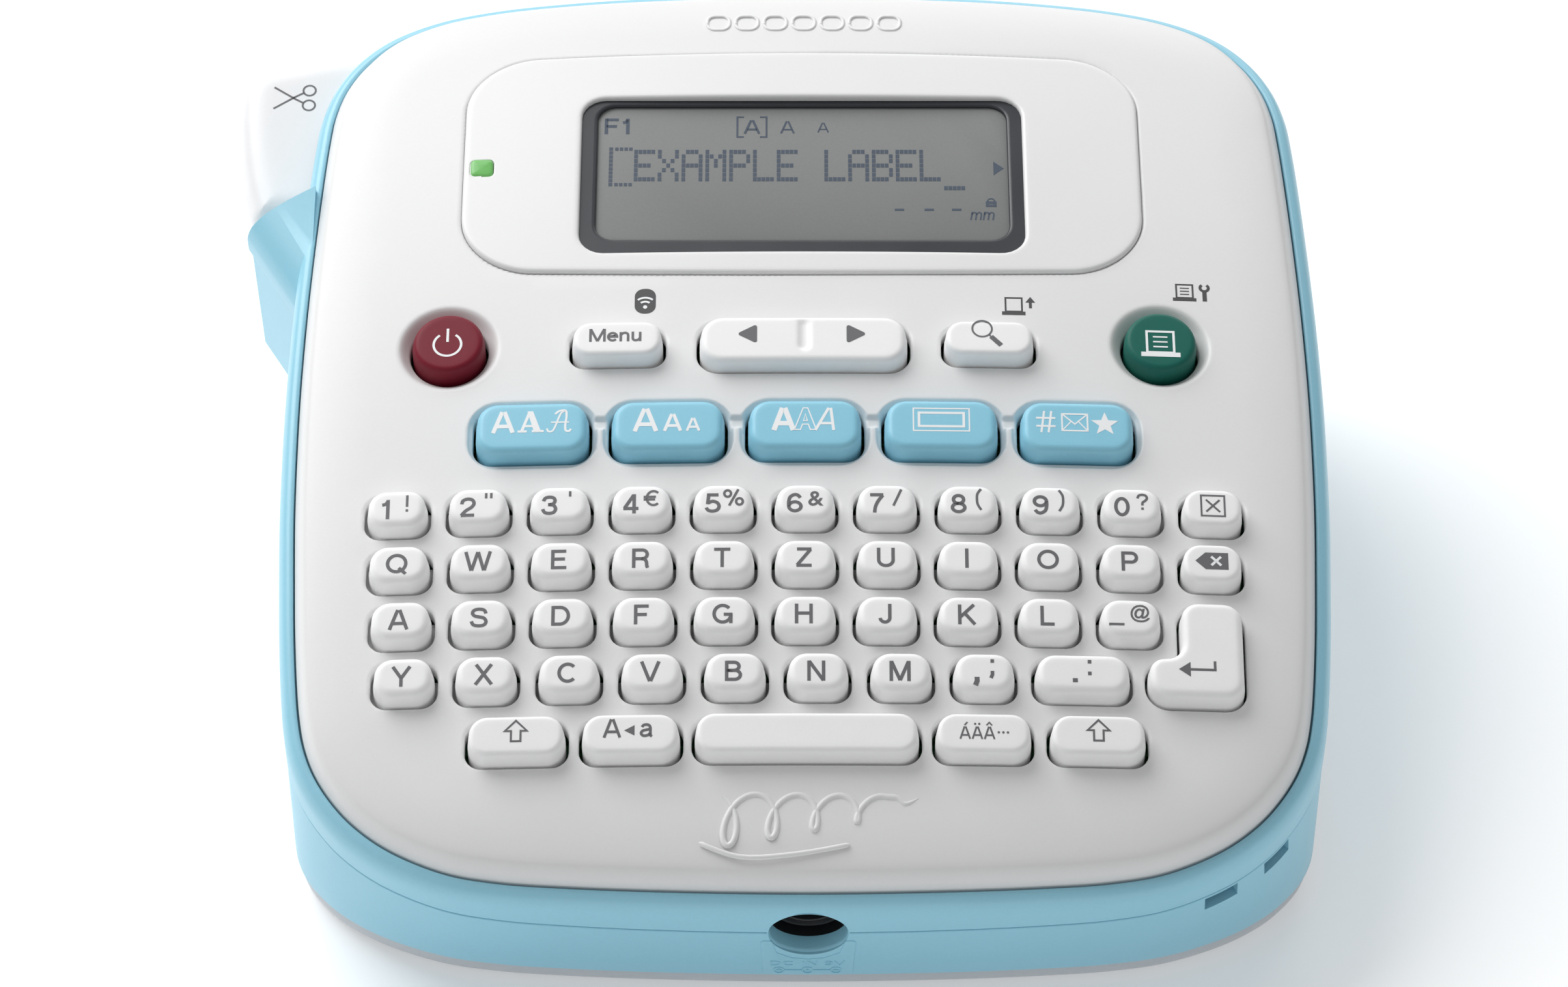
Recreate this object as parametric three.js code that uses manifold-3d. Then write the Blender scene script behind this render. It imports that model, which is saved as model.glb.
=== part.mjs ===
// Desktop label maker with a typewriter keyboard: a wedge-shaped housing in three shells, a raised display panel,
// 57 keys, a swinging cutter lever and a guard for the tape outlet on the left, and the tape drive inside.
//
// Frame: millimetres, +X to the user's right, +Y away from the user, +Z up. The origin is on the table under the
// middle of the object. Most pieces are designed in the deck frame: x as above, v along the sloping deck towards
// the rear, n square to the deck, with n = 0 at the top of its crown. The deck group is turned about X by TILT.
import * as THREE from "three";
import { ParametricGeometry } from "three/addons/geometries/ParametricGeometry.js";
import { mergeVertices } from "three/addons/utils/BufferGeometryUtils.js";
import Module from "manifold-3d";

const wasm = await Module();
wasm.setup();

// ---------------------------------------------------------------- driving dimensions
const TILT = THREE.MathUtils.degToRad(18); // slope of the deck
const DECK_LIFT = 48.3; // height of the deck frame's origin above the table
const DECK_BACK = -21.17; // its place along Y, so that the object stands centred on the origin
const DECK_SIDE = 5.24; // its place along X, for the same reason
const CROWN_X = 920, CROWN_V = 435, CROWN_V0 = 7.7; // radii of the deck's crown and where it peaks
const COVER_T = 2.0; // top cover wall
const WALL = 2.0; // shell walls
const EDGE_DROP = 3.4; // depth of the cover's visible edge under the crown
const RIM = 2.5; // how far the blue shells stand out past the cover
const SEAM_N = -15.8; // level of the seam between the blue shells
const BASE_TOP = 3.4, BASE_BOTTOM = 0.7; // visible strip of the back cover
const KEY_GAP = 0.45; // between a key and its hole
const KEY_RISE = 2.8; // key tops over the deck
const STEM_END = -7.2; // where the key stems end, over the board
const BOARD_TOP = -8.6, BOARD_T = 1.6;

// Half of the cover's outline in the deck frame, from the middle of the rear edge to the middle of the front edge.
const HALF = [[0, 94.2], [18, 93.9], [33, 93.1], [46, 91.6], [54.3, 89.5], [60.6, 86.2], [64.7, 82.0], [67.4, 77.0], [68.8, 71.7], [69.35, 66.4],
  [69.7, 61.3], [70.25, 51.3], [70.7, 41.6], [71.05, 32.2], [71.3, 20.0], [71.3, 9.8], [71.15, 0], [70.7, -11.3], [70.3, -19.4], [69.7, -27.4],
  [69.25, -31.4], [68.5, -35.3], [67.1, -39.2], [64.8, -43.1], [61.5, -47.0], [56.4, -50.9], [48.6, -54.4], [41.2, -55.9], [32.4, -56.7], [19.2, -57.4], [0, -57.8]];

const surf = (x, v) => -(x * x) / (2 * CROWN_X) - (v - CROWN_V0) ** 2 / (2 * CROWN_V);
const clamp = (a, lo, hi) => Math.min(hi, Math.max(lo, a));

// ---------------------------------------------------------------- outline of the housing
const loopPoints = [...HALF, ...HALF.slice(1, -1).reverse().map(([x, v]) => [-x, v])].map(([x, v]) => new THREE.Vector3(x, v, 0));
const curve = new THREE.CatmullRomCurve3(loopPoints, true, "centripetal");
// Points closer together where the outline turns, then the outward direction at each.
const OUT = (() => {
  const fine = curve.getSpacedPoints(1400).slice(0, -1), n = fine.length;
  const dir = (i) => fine[(i + 4) % n].clone().sub(fine[(i - 4 + n) % n]).normalize();
  let sum = 0;
  const cost = fine.map((p, i) => {
    const turn = Math.acos(clamp(dir(i).dot(dir((i + 1) % n)), -1, 1));
    return (sum += THREE.MathUtils.radToDeg(turn) / 9.5 + p.distanceTo(fine[(i + 1) % n]) / 30);
  });
  const count = 4 * Math.round(sum / 4), picked = [];
  let k = 0;
  for (let j = 0; j < count; j++) {
    while (cost[k] < (j + 0.5) / count * sum) k++;
    const d = dir(k);
    picked.push({ i: j, x: fine[k].x, v: fine[k].y, mx: -d.y, mv: d.x });
  }
  const c = picked[0];
  if ((c.x * c.mx + (c.v - 18) * c.mv) < 0) for (const p of picked) { p.mx *= -1; p.mv *= -1; }
  return picked;
})();
const NO = OUT.length;
const off = (p, o) => [p.x + p.mx * o, p.v + p.mv * o];
const rearward = (p) => Math.max(0, p.mv), frontward = (p) => Math.max(0, -p.mv);
const edgeTop = (p) => surf(p.x, p.v) - EDGE_DROP;
const seamAt = (p) => SEAM_N - 1.2 * clamp((p.v - 52) / 42, 0, 1) ** 2;

// ---------------------------------------------------------------- frames and solids
const deckM = new THREE.Matrix4().makeTranslation(DECK_SIDE, DECK_BACK, DECK_LIFT).multiply(new THREE.Matrix4().makeRotationX(TILT));
const toTable = (x, v, n) => new THREE.Vector3(x, v, n).applyMatrix4(deckM);
const toDeck = (x, y, z) => new THREE.Vector3(x, y, z).applyMatrix4(deckM.clone().invert());

function solid(geometry) {
  let g = geometry.clone();
  for (const a of Object.keys(g.attributes)) if (a !== "position") g.deleteAttribute(a);
  g = mergeVertices(g, 1e-4);
  const src = g.index.array, tri = [];
  for (let i = 0; i < src.length; i += 3)
    if (src[i] !== src[i + 1] && src[i + 1] !== src[i + 2] && src[i] !== src[i + 2]) tri.push(src[i], src[i + 1], src[i + 2]);
  const make = (t) => new wasm.Manifold(new wasm.Mesh({ numProp: 3, vertProperties: g.attributes.position.array, triVerts: new Uint32Array(t) }));
  let s = make(tri);
  if (s.volume() < 0) {
    for (let i = 0; i < tri.length; i += 3) [tri[i + 1], tri[i + 2]] = [tri[i + 2], tri[i + 1]];
    s = make(tri);
  }
  return s;
}
function geometryOf(s) {
  const m = s.getMesh(), np = m.numProp, pos = new Float32Array(m.numVert * 3);
  for (let i = 0; i < m.numVert; i++) pos.set(m.vertProperties.subarray(i * np, i * np + 3), i * 3);
  return new THREE.BufferGeometry().setAttribute("position", new THREE.BufferAttribute(pos, 3)).setIndex(new THREE.BufferAttribute(m.triVerts, 1));
}
const joined = (...parts) => parts.map((p) => (p.isBufferGeometry ? solid(p) : p)).reduce((a, b) => a.add(b));
const cut = (body, ...tools) => tools.map((p) => (p.isBufferGeometry ? solid(p) : p)).reduce((a, b) => a.subtract(b), body.isBufferGeometry ? solid(body) : body);

const box = (x0, x1, y0, y1, z0, z1) => new THREE.BoxGeometry(x1 - x0, y1 - y0, z1 - z0).translate((x0 + x1) / 2, (y0 + y1) / 2, (z0 + z1) / 2);
// A cylinder between two levels of n (axis along n), or along x or v.
const rod = (r, x, v, n0, n1, seg = 16) => new THREE.CylinderGeometry(r, r, n1 - n0, seg).rotateX(Math.PI / 2).translate(x, v, (n0 + n1) / 2);
const rodX = (r, x0, x1, v, n, seg = 16) => new THREE.CylinderGeometry(r, r, x1 - x0, seg).rotateZ(Math.PI / 2).translate((x0 + x1) / 2, v, n);
const rodV = (r, x, v0, v1, n, seg = 16) => new THREE.CylinderGeometry(r, r, v1 - v0, seg).translate(x, (v0 + v1) / 2, n);
const slab = (points, n0, n1) =>
  new THREE.ExtrudeGeometry(new THREE.Shape(points.map(([x, y]) => new THREE.Vector2(x, y))), { depth: n1 - n0, bevelEnabled: false, steps: 1 }).translate(0, 0, n0);

// A band swept round the outline: each ring is a function from an outline point to a place.
const sweep = (rings, ends) => {
  const rows = rings.length, span = ends ? rows - 1 : rows;
  const f = (u, w, target) => target.copy(rings[Math.round(w * span) % rows](OUT[Math.round(u * NO) % NO]));
  return new ParametricGeometry(f, NO, span);
};
const deckPoint = (p, o, n) => { const [x, v] = off(p, o); return new THREE.Vector3(x, v, n(x, v)); };

// ---------------------------------------------------------------- keys: places and sizes
// [name, centre x, front edge v, width, depth]
const letters = (names, xs, front) => names.map((n, i) => [n, xs[i], front, 8.4, 6.2]);
const ROWS = {
  keys_digits: { web: -4.7, keys: letters(["1", "2", "3", "4", "5", "6", "7", "8", "9", "0"], [-56.5, -45.2, -33.92, -22.6, -11.32, 0, 11.3, 22.6, 33.92, 45.19], -5.93) },
  keys_upper_letters: { web: -4.8, keys: letters([..."QWERTZUIOP"], [-55.97, -44.78, -33.6, -22.4, -11.19, 0.04, 11.28, 22.4, 33.56, 44.8], -14.75) },
  keys_home_letters: { web: -5.1, keys: letters([..."ASDFGHJKL_"], [-55.44, -44.39, -33.24, -22.15, -11.08, 0, 11.14, 22.25, 33.34, 44.5], -23.46) },
  keys_lower_letters: { web: -6.1, keys: [...letters([..."YXCVBNM,"], [-54.79, -43.54, -32.19, -20.88, -9.59, 1.68, 13.06, 24.31], -32.1), [".", 37.76, -32.05, 13.0, 6.2]] },
};
const SINGLE = {
  key_symbols: [56.44, -5.85, 8.4, 6.2], key_backspace: [56.03, -14.62, 8.4, 6.2],
  key_shift_left: [-39.17, -41.25, 13.3, 6.2], key_caps: [-23.64, -41.25, 13.3, 6.2], key_space: [0.2, -41.15, 30.4, 6.2],
  key_accents: [24.12, -41.15, 13.0, 6.2], key_shift_right: [39.66, -41.15, 13.0, 6.2],
  key_font: [-38.08, 5.85, 15.8, 8.6], key_text_size: [-19.1, 5.85, 15.8, 8.6], key_text_style: [0, 5.9, 15.8, 8.6],
  key_frame_style: [19.05, 5.95, 15.8, 8.6], key_symbol_menu: [38.03, 5.95, 15.8, 8.6],
  key_menu: [-26.4, 21.5, 12.8, 6.2], key_preview: [26.0, 21.6, 12.6, 6.2],
};
// Outline of a key: a rectangle with chamfered corners, grown by g.
function keyOutline(x, front, w, d, g = 0, r = 2.7) {
  const a = w / 2 + g, b = d / 2 + g, y = front + d / 2, k = (r + g) * 0.62, pts = [];
  for (const [sx, sy] of [[1, 1], [-1, 1], [-1, -1], [1, -1]]) {
    const c = [[sx * a, sy * (b - k)], [sx * (a - k), sy * b]];
    pts.push(...(sx * sy > 0 ? c : c.reverse()).map(([px, py]) => [x + px, y + py]));
  }
  return pts;
}
const ENTER = [[47.0, -32.3], [59.3, -32.3], [60.0, -31.2], [60.0, -18.6], [58.8, -17.5], [52.6, -17.5], [51.3, -18.7], [51.3, -26.0], [47.9, -26.0], [46.7, -27.3], [46.7, -31.4]];
const grown = (pts, g) => { // an outline moved outward by g
  const n = pts.length;
  return pts.map(([x, y], i) => {
    const [ax, ay] = pts[(i - 1 + n) % n], [bx, by] = pts[(i + 1) % n];
    const n1 = [y - ay, -(x - ax)], n2 = [by - y, -(bx - x)], l1 = Math.hypot(...n1), l2 = Math.hypot(...n2);
    const s = [n1[0] / l1 + n2[0] / l2, n1[1] / l1 + n2[1] / l2], q = (s[0] * s[0] + s[1] * s[1]) / 2;
    return [x + (s[0] / q) * g, y + (s[1] / q) * g];
  });
};
// A stem whose top follows the deck, rise above it.
function stem(points, rise, foot = STEM_END) {
  const g = slab(points, foot, 0), p = g.attributes.position;
  for (let i = 0; i < p.count; i++) if (p.getZ(i) > -0.01) p.setZ(i, surf(p.getX(i), p.getY(i)) + rise);
  return solid(g);
}
const holeTool = (points) => solid(slab(points, -12, 4));
const circle = (x, v, r, seg = 14) => Array.from({ length: seg }, (_, i) => [x + r * Math.cos((2 * Math.PI * i) / seg), v + r * Math.sin((2 * Math.PI * i) / seg)]);
const rect = (x0, x1, v0, v1, r = 0, seg = 3) => {
  if (!r) return [[x0, v0], [x1, v0], [x1, v1], [x0, v1]];
  const pts = [];
  for (const [cx, cy, a] of [[x1 - r, v0 + r, -90], [x1 - r, v1 - r, 0], [x0 + r, v1 - r, 90], [x0 + r, v0 + r, 180]])
    for (let i = 0; i <= seg; i++) { const t = THREE.MathUtils.degToRad(a + (90 * i) / seg); pts.push([cx + r * Math.cos(t), cy + r * Math.sin(t)]); }
  return pts;
};

// ---------------------------------------------------------------- display panel outline
const PANEL = { x0: -49.3, x1: 48.6, v0: 37.5, v1: 80.1, r: 10.5 };
const panelLine = (g, seg = 3) => {
  const mid = (PANEL.v0 + PANEL.v1) / 2, half = (PANEL.v1 - PANEL.v0) / 2, pts = [];
  const base = rect(PANEL.x0 - g, PANEL.x1 + g, PANEL.v0 - g, PANEL.v1 + g, PANEL.r + g, seg);
  base.forEach(([x, v], i) => {
    pts.push([x, v]);
    const [x2, v2] = base[(i + 1) % base.length];
    const parts = Math.abs(x2 - x) > 30 ? 5 : Math.abs(v2 - v) > 15 ? 2 : 1;
    for (let k = 1; k < parts; k++) pts.push([x + ((x2 - x) * k) / parts, v + ((v2 - v) * k) / parts]);
  });
  return pts.map(([x, v]) => [x, mid + (v - mid) * (1 - 0.052 * (x / 48) ** 2)]);
};
const WIN = { x0: -32.3, x1: 31.7, v0: 41.5, v1: 71.0, r: 3.5 };

// ---------------------------------------------------------------- top cover
const holes = [];
for (const row of Object.values(ROWS)) for (const [, x, f, w, d] of row.keys) holes.push(holeTool(keyOutline(x, f, w, d, KEY_GAP)));
for (const [x, f, w, d] of Object.values(SINGLE)) holes.push(holeTool(keyOutline(x, f, w, d, KEY_GAP)));
holes.push(holeTool(grown(ENTER, KEY_GAP)));
const ARROW = [-0.15, 20.45, 29.3, 8.2];
holes.push(holeTool(keyOutline(...ARROW, KEY_GAP, 3.2)));
const POWER = [-50.3, 25.3, 5.15], PRINT = [50.3, 25.6, 5.15];
holes.push(holeTool(circle(POWER[0], POWER[1], POWER[2] + KEY_GAP)), holeTool(circle(PRINT[0], PRINT[1], PRINT[2] + KEY_GAP)));

const coverRings = [], FAN_V = 57;
const inner9 = (p, k) => { const [x, v] = off(p, -9); return [x * k, FAN_V + (v - FAN_V) * k]; };
// The middle of the plate needs only every fourth point.
const field = (k, dn) => (p) => { const [x, v] = inner9(OUT[(4 * Math.round(p.i / 4)) % NO], k); return new THREE.Vector3(x, v, surf(x, v) + dn); };
coverRings.push(field(0, 0), field(0.36, 0), field(0.7, 0), (p) => deckPoint(p, -9, (x, v) => surf(x, v)));
for (const [o, d] of [[-5.2, 0.45], [-2.6, 1.25], [-0.8, 2.4], [0, EDGE_DROP]]) coverRings.push((p) => deckPoint(p, o, (x, v) => surf(x, v) - d));
coverRings.push((p) => deckPoint(p, 0, (x, v) => surf(x, v) - 5.1), (p) => deckPoint(p, -2.0, (x, v) => surf(x, v) - 5.1));
coverRings.push((p) => deckPoint(p, -4.6, (x, v) => surf(x, v) - 2.7), (p) => deckPoint(p, -9, (x, v) => surf(x, v) - COVER_T));
coverRings.push(field(0.7, -COVER_T), field(0.36, -COVER_T), field(0, -COVER_T));
const coverBody = solid(sweep(coverRings, true));
// Pocket for the display panel, with a ledge under its edge.
function plateTool(line, top, bottom) { // a warped band-shaped solid that follows the crown, from its rim to its middle
  const n = line.length, cx = -0.3, cv = 58.8, ks = [0, 0.5, 1];
  const rows = [...ks.map((k) => [k, top]), ...ks.slice().reverse().map((k) => [k, bottom])];
  const f = (u, w, target) => {
    const [k, dn] = rows[Math.round(w * (rows.length - 1))], [x, v] = line[Math.round(u * n) % n];
    const px = cx + (x - cx) * k, pv = cv + (v - cv) * k;
    return target.set(px, pv, surf(px, pv) + dn);
  };
  return solid(new ParametricGeometry(f, n, rows.length - 1));
}
let cover = cut(coverBody, plateTool(panelLine(0.3), 3, -1.25), solid(slab(rect(WIN.x0 - 1.2, WIN.x1 + 1.2, WIN.v0 - 1.2, WIN.v1 + 1.2, WIN.r, 2), -12, 3)), box(-48.9, -44.3, 55.2, 60.0, -9, 2));
cover = cut(cover, ...holes);

// ---------------------------------------------------------------- display panel, window, glass, light pipe
const bezelBody = cut(plateTool(panelLine(0), 0.5, -0.95), solid(slab(rect(WIN.x0, WIN.x1, WIN.v0, WIN.v1, WIN.r, 3), -12, 3)), box(-48.6, -44.6, 55.5, 59.7, -9, 2));

// ---------------------------------------------------------------- blue shells
const rimLean = (p, n) => -rearward(p) * Math.tan(TILT) * Math.max(0, edgeTop(p) - 2 - n); // keeps the rear wall upright
const frameRing = (o, n) => (p) => {
  const nn = n(p), [x, v] = off(p, o + rimLean(p, nn));
  return new THREE.Vector3(x, v, nn);
};
const frameRings = [
  frameRing(0.3, (p) => edgeTop(p) - 0.25), frameRing(1.4, (p) => edgeTop(p) - 0.45), frameRing(2.2, (p) => edgeTop(p) - 1.4), frameRing(RIM, (p) => edgeTop(p) - 3.0),
  frameRing(RIM + 0.05, seamAt), frameRing(RIM - WALL, seamAt), frameRing(RIM - WALL, (p) => edgeTop(p) - 3.9),
  frameRing(-4.0, (p) => edgeTop(p) - 3.9), frameRing(-4.0, (p) => edgeTop(p) - 2.1), frameRing(0.3, (p) => edgeTop(p) - 2.1),
];
let frame = solid(sweep(frameRings, false));

// Guard of the tape outlet: its axis runs along A in plan, its cross-section along B.
const A = new THREE.Vector2(0.526, -0.85).normalize(), B = new THREE.Vector2(-A.y, A.x).multiplyScalar(-1);
const G0 = new THREE.Vector2(-72.0, 57.1);
function guard(profile, a0, a1) { // profile in [distance along B, n]
  const g = slab(profile, a0, a1), p = g.attributes.position;
  for (let i = 0; i < p.count; i++) {
    const s = p.getX(i), n = p.getY(i), a = p.getZ(i);
    p.setXYZ(i, G0.x + B.x * s + A.x * a, G0.y + B.y * s + A.y * a, n);
  }
  return solid(g);
}
const NOSE = [[-6, -8.3], [0, -8.0], [4, -8.15], [6.5, -8.6], [8.3, -9.3], [9.7, -10.4], [10.45, -12.0], [10.6, -13.6], [10.55, -15.8], [-6, -15.8]];
const outsideBody = solid(box(-95, -71.6, 20, 75, -60, 0));
const hood = guard(NOSE, 0, 26).intersect(outsideBody);
frame = frame.add(hood);

const seamGap = 0.3;
const lowerTop = (o) => (p) => { const n = seamAt(p) - seamGap, [x, v] = off(p, o + rimLean(p, seamAt(p))); return toTable(x, v, n); };
const lowerDown = (o, z, flare = 0) => (p) => {
  const top = lowerTop(o)(p), drop = top.z - z;
  top.y += drop * Math.tan(TILT) * 0.8 * frontward(p) ** 1.2 - drop * 0.02 * rearward(p);
  top.x -= Math.sign(p.mx) * drop * 0.015 * Math.abs(p.mx);
  top.z = z;
  return top;
};
const lowerRings = [lowerTop(RIM - 0.35), lowerDown(RIM - 0.35, BASE_TOP + 0.3), lowerDown(-4.6, BASE_TOP + 0.3), lowerDown(-4.6, BASE_TOP + 2.3), lowerDown(RIM - 0.35 - WALL, BASE_TOP + 2.3), lowerTop(RIM - 0.35 - WALL)];
const inTable = (s) => solid(geometryOf(s).applyMatrix4(deckM)); // deck-frame solid into the table frame
let lower = solid(sweep(lowerRings, false));
const chuteOuter = guard([[-6, -42], [8.2, -42], [10.2, -39.6], [10.2, SEAM_N - seamGap], [-6, SEAM_N - seamGap]], 0.3, 26).intersect(outsideBody);
const chuteInner = guard([[-8, -40.4], [7.6, -40.4], [8.4, -39], [8.4, -15], [-8, -15]], 1.9, 22).intersect(solid(box(-95, -70.2, 20, 75, -60, 0)));
const chuteKeep = cut(chuteInner, box(-95, -60, 20, 41.5, -60, 0));
lower = cut(lower.add(inTable(chuteOuter)), inTable(chuteKeep));
// Opening in the left wall for the lever and the tape.
lower = cut(lower, inTable(solid(box(-96, -57.6, 57.7, 93.4, -38.5, -14))));
// Hole for the power plug through both shells, along the deck.
const JACK_N = -16.0, JACK_X = 0.4;
const plugHole = rodV(5.5, JACK_X, -70, -49.5, JACK_N, 18);
frame = cut(frame, plugHole);
lower = cut(lower, inTable(solid(plugHole)));
// Two small release slots at the front right corner, just under the seam.
for (const [x, v, turn] of [[56.9, -53.9, 0.52], [64.7, -47.6, 0.83]]) {
  const t = new THREE.BoxGeometry(5.2, 6, 2.4).rotateZ(turn).translate(x, v, SEAM_N - 1.9);
  lower = cut(lower, inTable(solid(t)));
}

// ---------------------------------------------------------------- back cover with its feet
const baseRing = (o, z) => (p) => { const q = lowerDown(o, z)(p); return q; };
const plateCentre = (z) => () => new THREE.Vector3(DECK_SIDE, 0, z);
const scaled = (ring, k) => (p) => { const q = ring(p); q.x = DECK_SIDE + (q.x - DECK_SIDE) * k; q.y *= k; return q; };
const under = baseRing(RIM - 1.3, BASE_BOTTOM), upper = baseRing(RIM - 0.7, BASE_TOP);
const lipOuter = baseRing(-5.0, BASE_TOP), lipTop = baseRing(-5.0, BASE_TOP + 2.8), lipInner = baseRing(-6.4, BASE_TOP + 2.8), floorEdge = baseRing(-6.4, BASE_BOTTOM + 1.8);
const baseSolid = solid(sweep([plateCentre(BASE_BOTTOM), scaled(under, 0.97), under, baseRing(RIM - 0.6, BASE_BOTTOM + 0.9), upper, lipOuter, lipTop, lipInner, floorEdge, plateCentre(BASE_BOTTOM + 1.8)], true));

// ---------------------------------------------------------------- cutter lever
const LEVER_TOP = -17.5, LEVER_H = 9;
const LEVER = [[-62.2, 90.6], [-72.0, 88.8], [-80.6, 86.9], [-83.0, 85.4], [-84.0, 83.0], [-84.3, 80.0], [-84.2, 76.0], [-83.6, 70.4], [-82.6, 64.6], [-81.3, 59.6], [-80.6, 59.0], [-69, 59.0], [-59.0, 62.5], [-59.0, 86.0], [-60.2, 90.0]];
const shrink = (pts, g) => grown(pts, -g);
const leverSkin = (() => {
  const cc = [-72, 75], rows = [[0, 0], [-4.0, 0], [-1.5, -0.9], [-0.4, -2.2], [0, -3.6], [0, -LEVER_H], [-2, -LEVER_H], [-2.4, -4.0], [-4.4, -2.2], [0, -2.2]];
  const rings = rows.map(([g, dn], i) => [i === 0 || i === rows.length - 1 ? null : grown(LEVER, g), LEVER_TOP + dn]);
  const n = LEVER.length;
  const f = (u, w, target) => {
    const [line, nn] = rings[Math.round(w * (rings.length - 1))];
    const [x, v] = line ? line[Math.round(u * n) % n] : cc;
    return target.set(x, v, nn);
  };
  return solid(new ParametricGeometry(f, n, rings.length - 1));
})();
const PIVOT = [-47.5, -22.0]; // x and n of the lever's hinge, which runs along v
const leverArm = joined(box(-61, -49, 70, 73, -24.4, -19.6), box(-61, -49, 81, 84, -24.4, -19.6), rodV(3.2, PIVOT[0], 70, 84, PIVOT[1], 16));
let lever = cut(leverSkin.add(leverArm), rodV(1.6, PIVOT[0], 69, 85, PIVOT[1], 12), box(-76, -60.2, 58, 69, -28, LEVER_TOP - 4.1));

// ---------------------------------------------------------------- tape drive
const MOD = 0.75, MOTOR = [-53, 38], PLATEN = [-50, 62.4];
const circleMeet = (c1, r1, c2, r2, side) => {
  const dx = c2[0] - c1[0], dy = c2[1] - c1[1], d = Math.hypot(dx, dy), a = (r1 * r1 - r2 * r2 + d * d) / (2 * d), h = Math.sqrt(r1 * r1 - a * a);
  return [c1[0] + (dx * a) / d + (side * dy * h) / d, c1[1] + (dy * a) / d - (side * dx * h) / d];
};
const TEETH = { pinion: 8, idler: 24, platen: 14, ribbon: 14 };
const R = (t) => (MOD * t) / 2;
const SLACK = 0.12;
const IDLER = circleMeet(MOTOR, R(8) + R(24) + SLACK, PLATEN, R(24) + R(14) + SLACK, 1);
const ribbonAngle = THREE.MathUtils.degToRad(8);
const RIBBON = [IDLER[0] + (R(24) + R(14) + SLACK) * Math.cos(ribbonAngle), IDLER[1] + (R(24) + R(14) + SLACK) * Math.sin(ribbonAngle)];
function gear(centre, teeth, phase, n0, n1) {
  const r = R(teeth), pts = [];
  for (let i = 0; i < teeth; i++) {
    const c = phase + (2 * Math.PI * i) / teeth, pitch = (2 * Math.PI) / teeth;
    for (const [rad, f] of [[r - 1.15 * MOD, -0.36], [r + 0.75 * MOD, -0.1], [r + 0.75 * MOD, 0.1], [r - 1.15 * MOD, 0.36]])
      pts.push([centre[0] + rad * Math.cos(c + f * pitch), centre[1] + rad * Math.sin(c + f * pitch)]);
  }
  return solid(slab(pts, n0, n1));
}
const meshPhase = (c1, t1, ph1, c2, t2) => { // phase of the second gear so that its gap meets the first gear's tooth
  const th = Math.atan2(c2[1] - c1[1], c2[0] - c1[0]), f1 = (t1 * (th - ph1)) / (2 * Math.PI);
  return th + Math.PI - ((0.5 - f1) * 2 * Math.PI) / t2;
};
const G_LO = -13.1, G_HI = -11.3;
const phIdler = 0, phPinion = meshPhase(IDLER, 24, phIdler, MOTOR, 8), phPlaten = meshPhase(IDLER, 24, phIdler, PLATEN, 14), phRibbon = meshPhase(IDLER, 24, phIdler, RIBBON, 14);
const pinion = joined(gear(MOTOR, 8, phPinion, G_LO, G_HI), rod(0.9, ...MOTOR, -19, G_LO + 0.1, 10));
const idler = cut(gear(IDLER, 24, phIdler, G_LO, G_HI), rod(1.55, ...IDLER, -20, -8, 12));
const platenGear = joined(gear(PLATEN, 14, phPlaten, G_LO, G_HI), rod(1.2, ...PLATEN, -36.5, G_LO + 0.1, 10), rod(3.6, ...PLATEN, -35.5, -20.5, 12));
const ribbonShaft = joined(gear(RIBBON, 14, phRibbon, G_LO, G_HI), rod(1.5, ...RIBBON, -33, G_LO + 0.1, 8), box(RIBBON[0] - 2.2, RIBBON[0] + 2.2, RIBBON[1] - 0.6, RIBBON[1] + 0.6, -33, -22), box(RIBBON[0] - 0.6, RIBBON[0] + 0.6, RIBBON[1] - 2.2, RIBBON[1] + 2.2, -33, -22));
const CH_TOP = -13.6, CH_LOW = -14.8;
let chassis = joined(slab([[-62, 30], [26, 30], [26, 80], [-50, 80], [-62, 70]], CH_LOW, CH_TOP), rod(1.45, ...IDLER, CH_TOP - 0.5, -11.4, 10),
  box(-57.2, -44, 54.9, 56.1, -36, CH_LOW + 0.1), box(-50.5, -44.5, 66.8, 69.4, -25, CH_LOW + 0.1), rodV(1.5, PIVOT[0], 68, 86, PIVOT[1], 10));
chassis = cut(chassis, rod(3.4, ...MOTOR, -20, -5, 16), rod(1.6, ...PLATEN, -20, -5, 12), rod(2.0, ...RIBBON, -20, -5, 12), box(-67, -61.9, 28, 90, -20, -5));
const motor = cut(joined(rod(8.6, ...MOTOR, -39, -15.2, 20), rod(3.0, ...MOTOR, -15.3, -14.0, 12)), rod(1.2, ...MOTOR, -20, -10, 10));
const printHead = box(-56.5, -44.4, 56.4, 57.4, -35.5, -20.5);
const heatSink = joined(box(-56.5, -44.4, 52.6, 54.6, -35.5, -17), box(-56.5, -54.7, 49.3, 52.7, -35.5, -17), box(-46.2, -44.4, 50.9, 52.7, -35.5, -19));
const CASS = { x0: -42.6, x1: 20.4, v0: 35.5, v1: 82.5, n0: -37.4, n1: -19.6 };
let cassette = solid(slab(rect(CASS.x0, CASS.x1, CASS.v0, CASS.v1, 3, 2), CASS.n0, CASS.n1));
cassette = cut(cassette, rod(3.0, ...RIBBON, -60, -10, 16), rod(3.2, 4, 66, -60, -30, 16), box(-44, -38, 53, 61, -60, -10));

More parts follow.
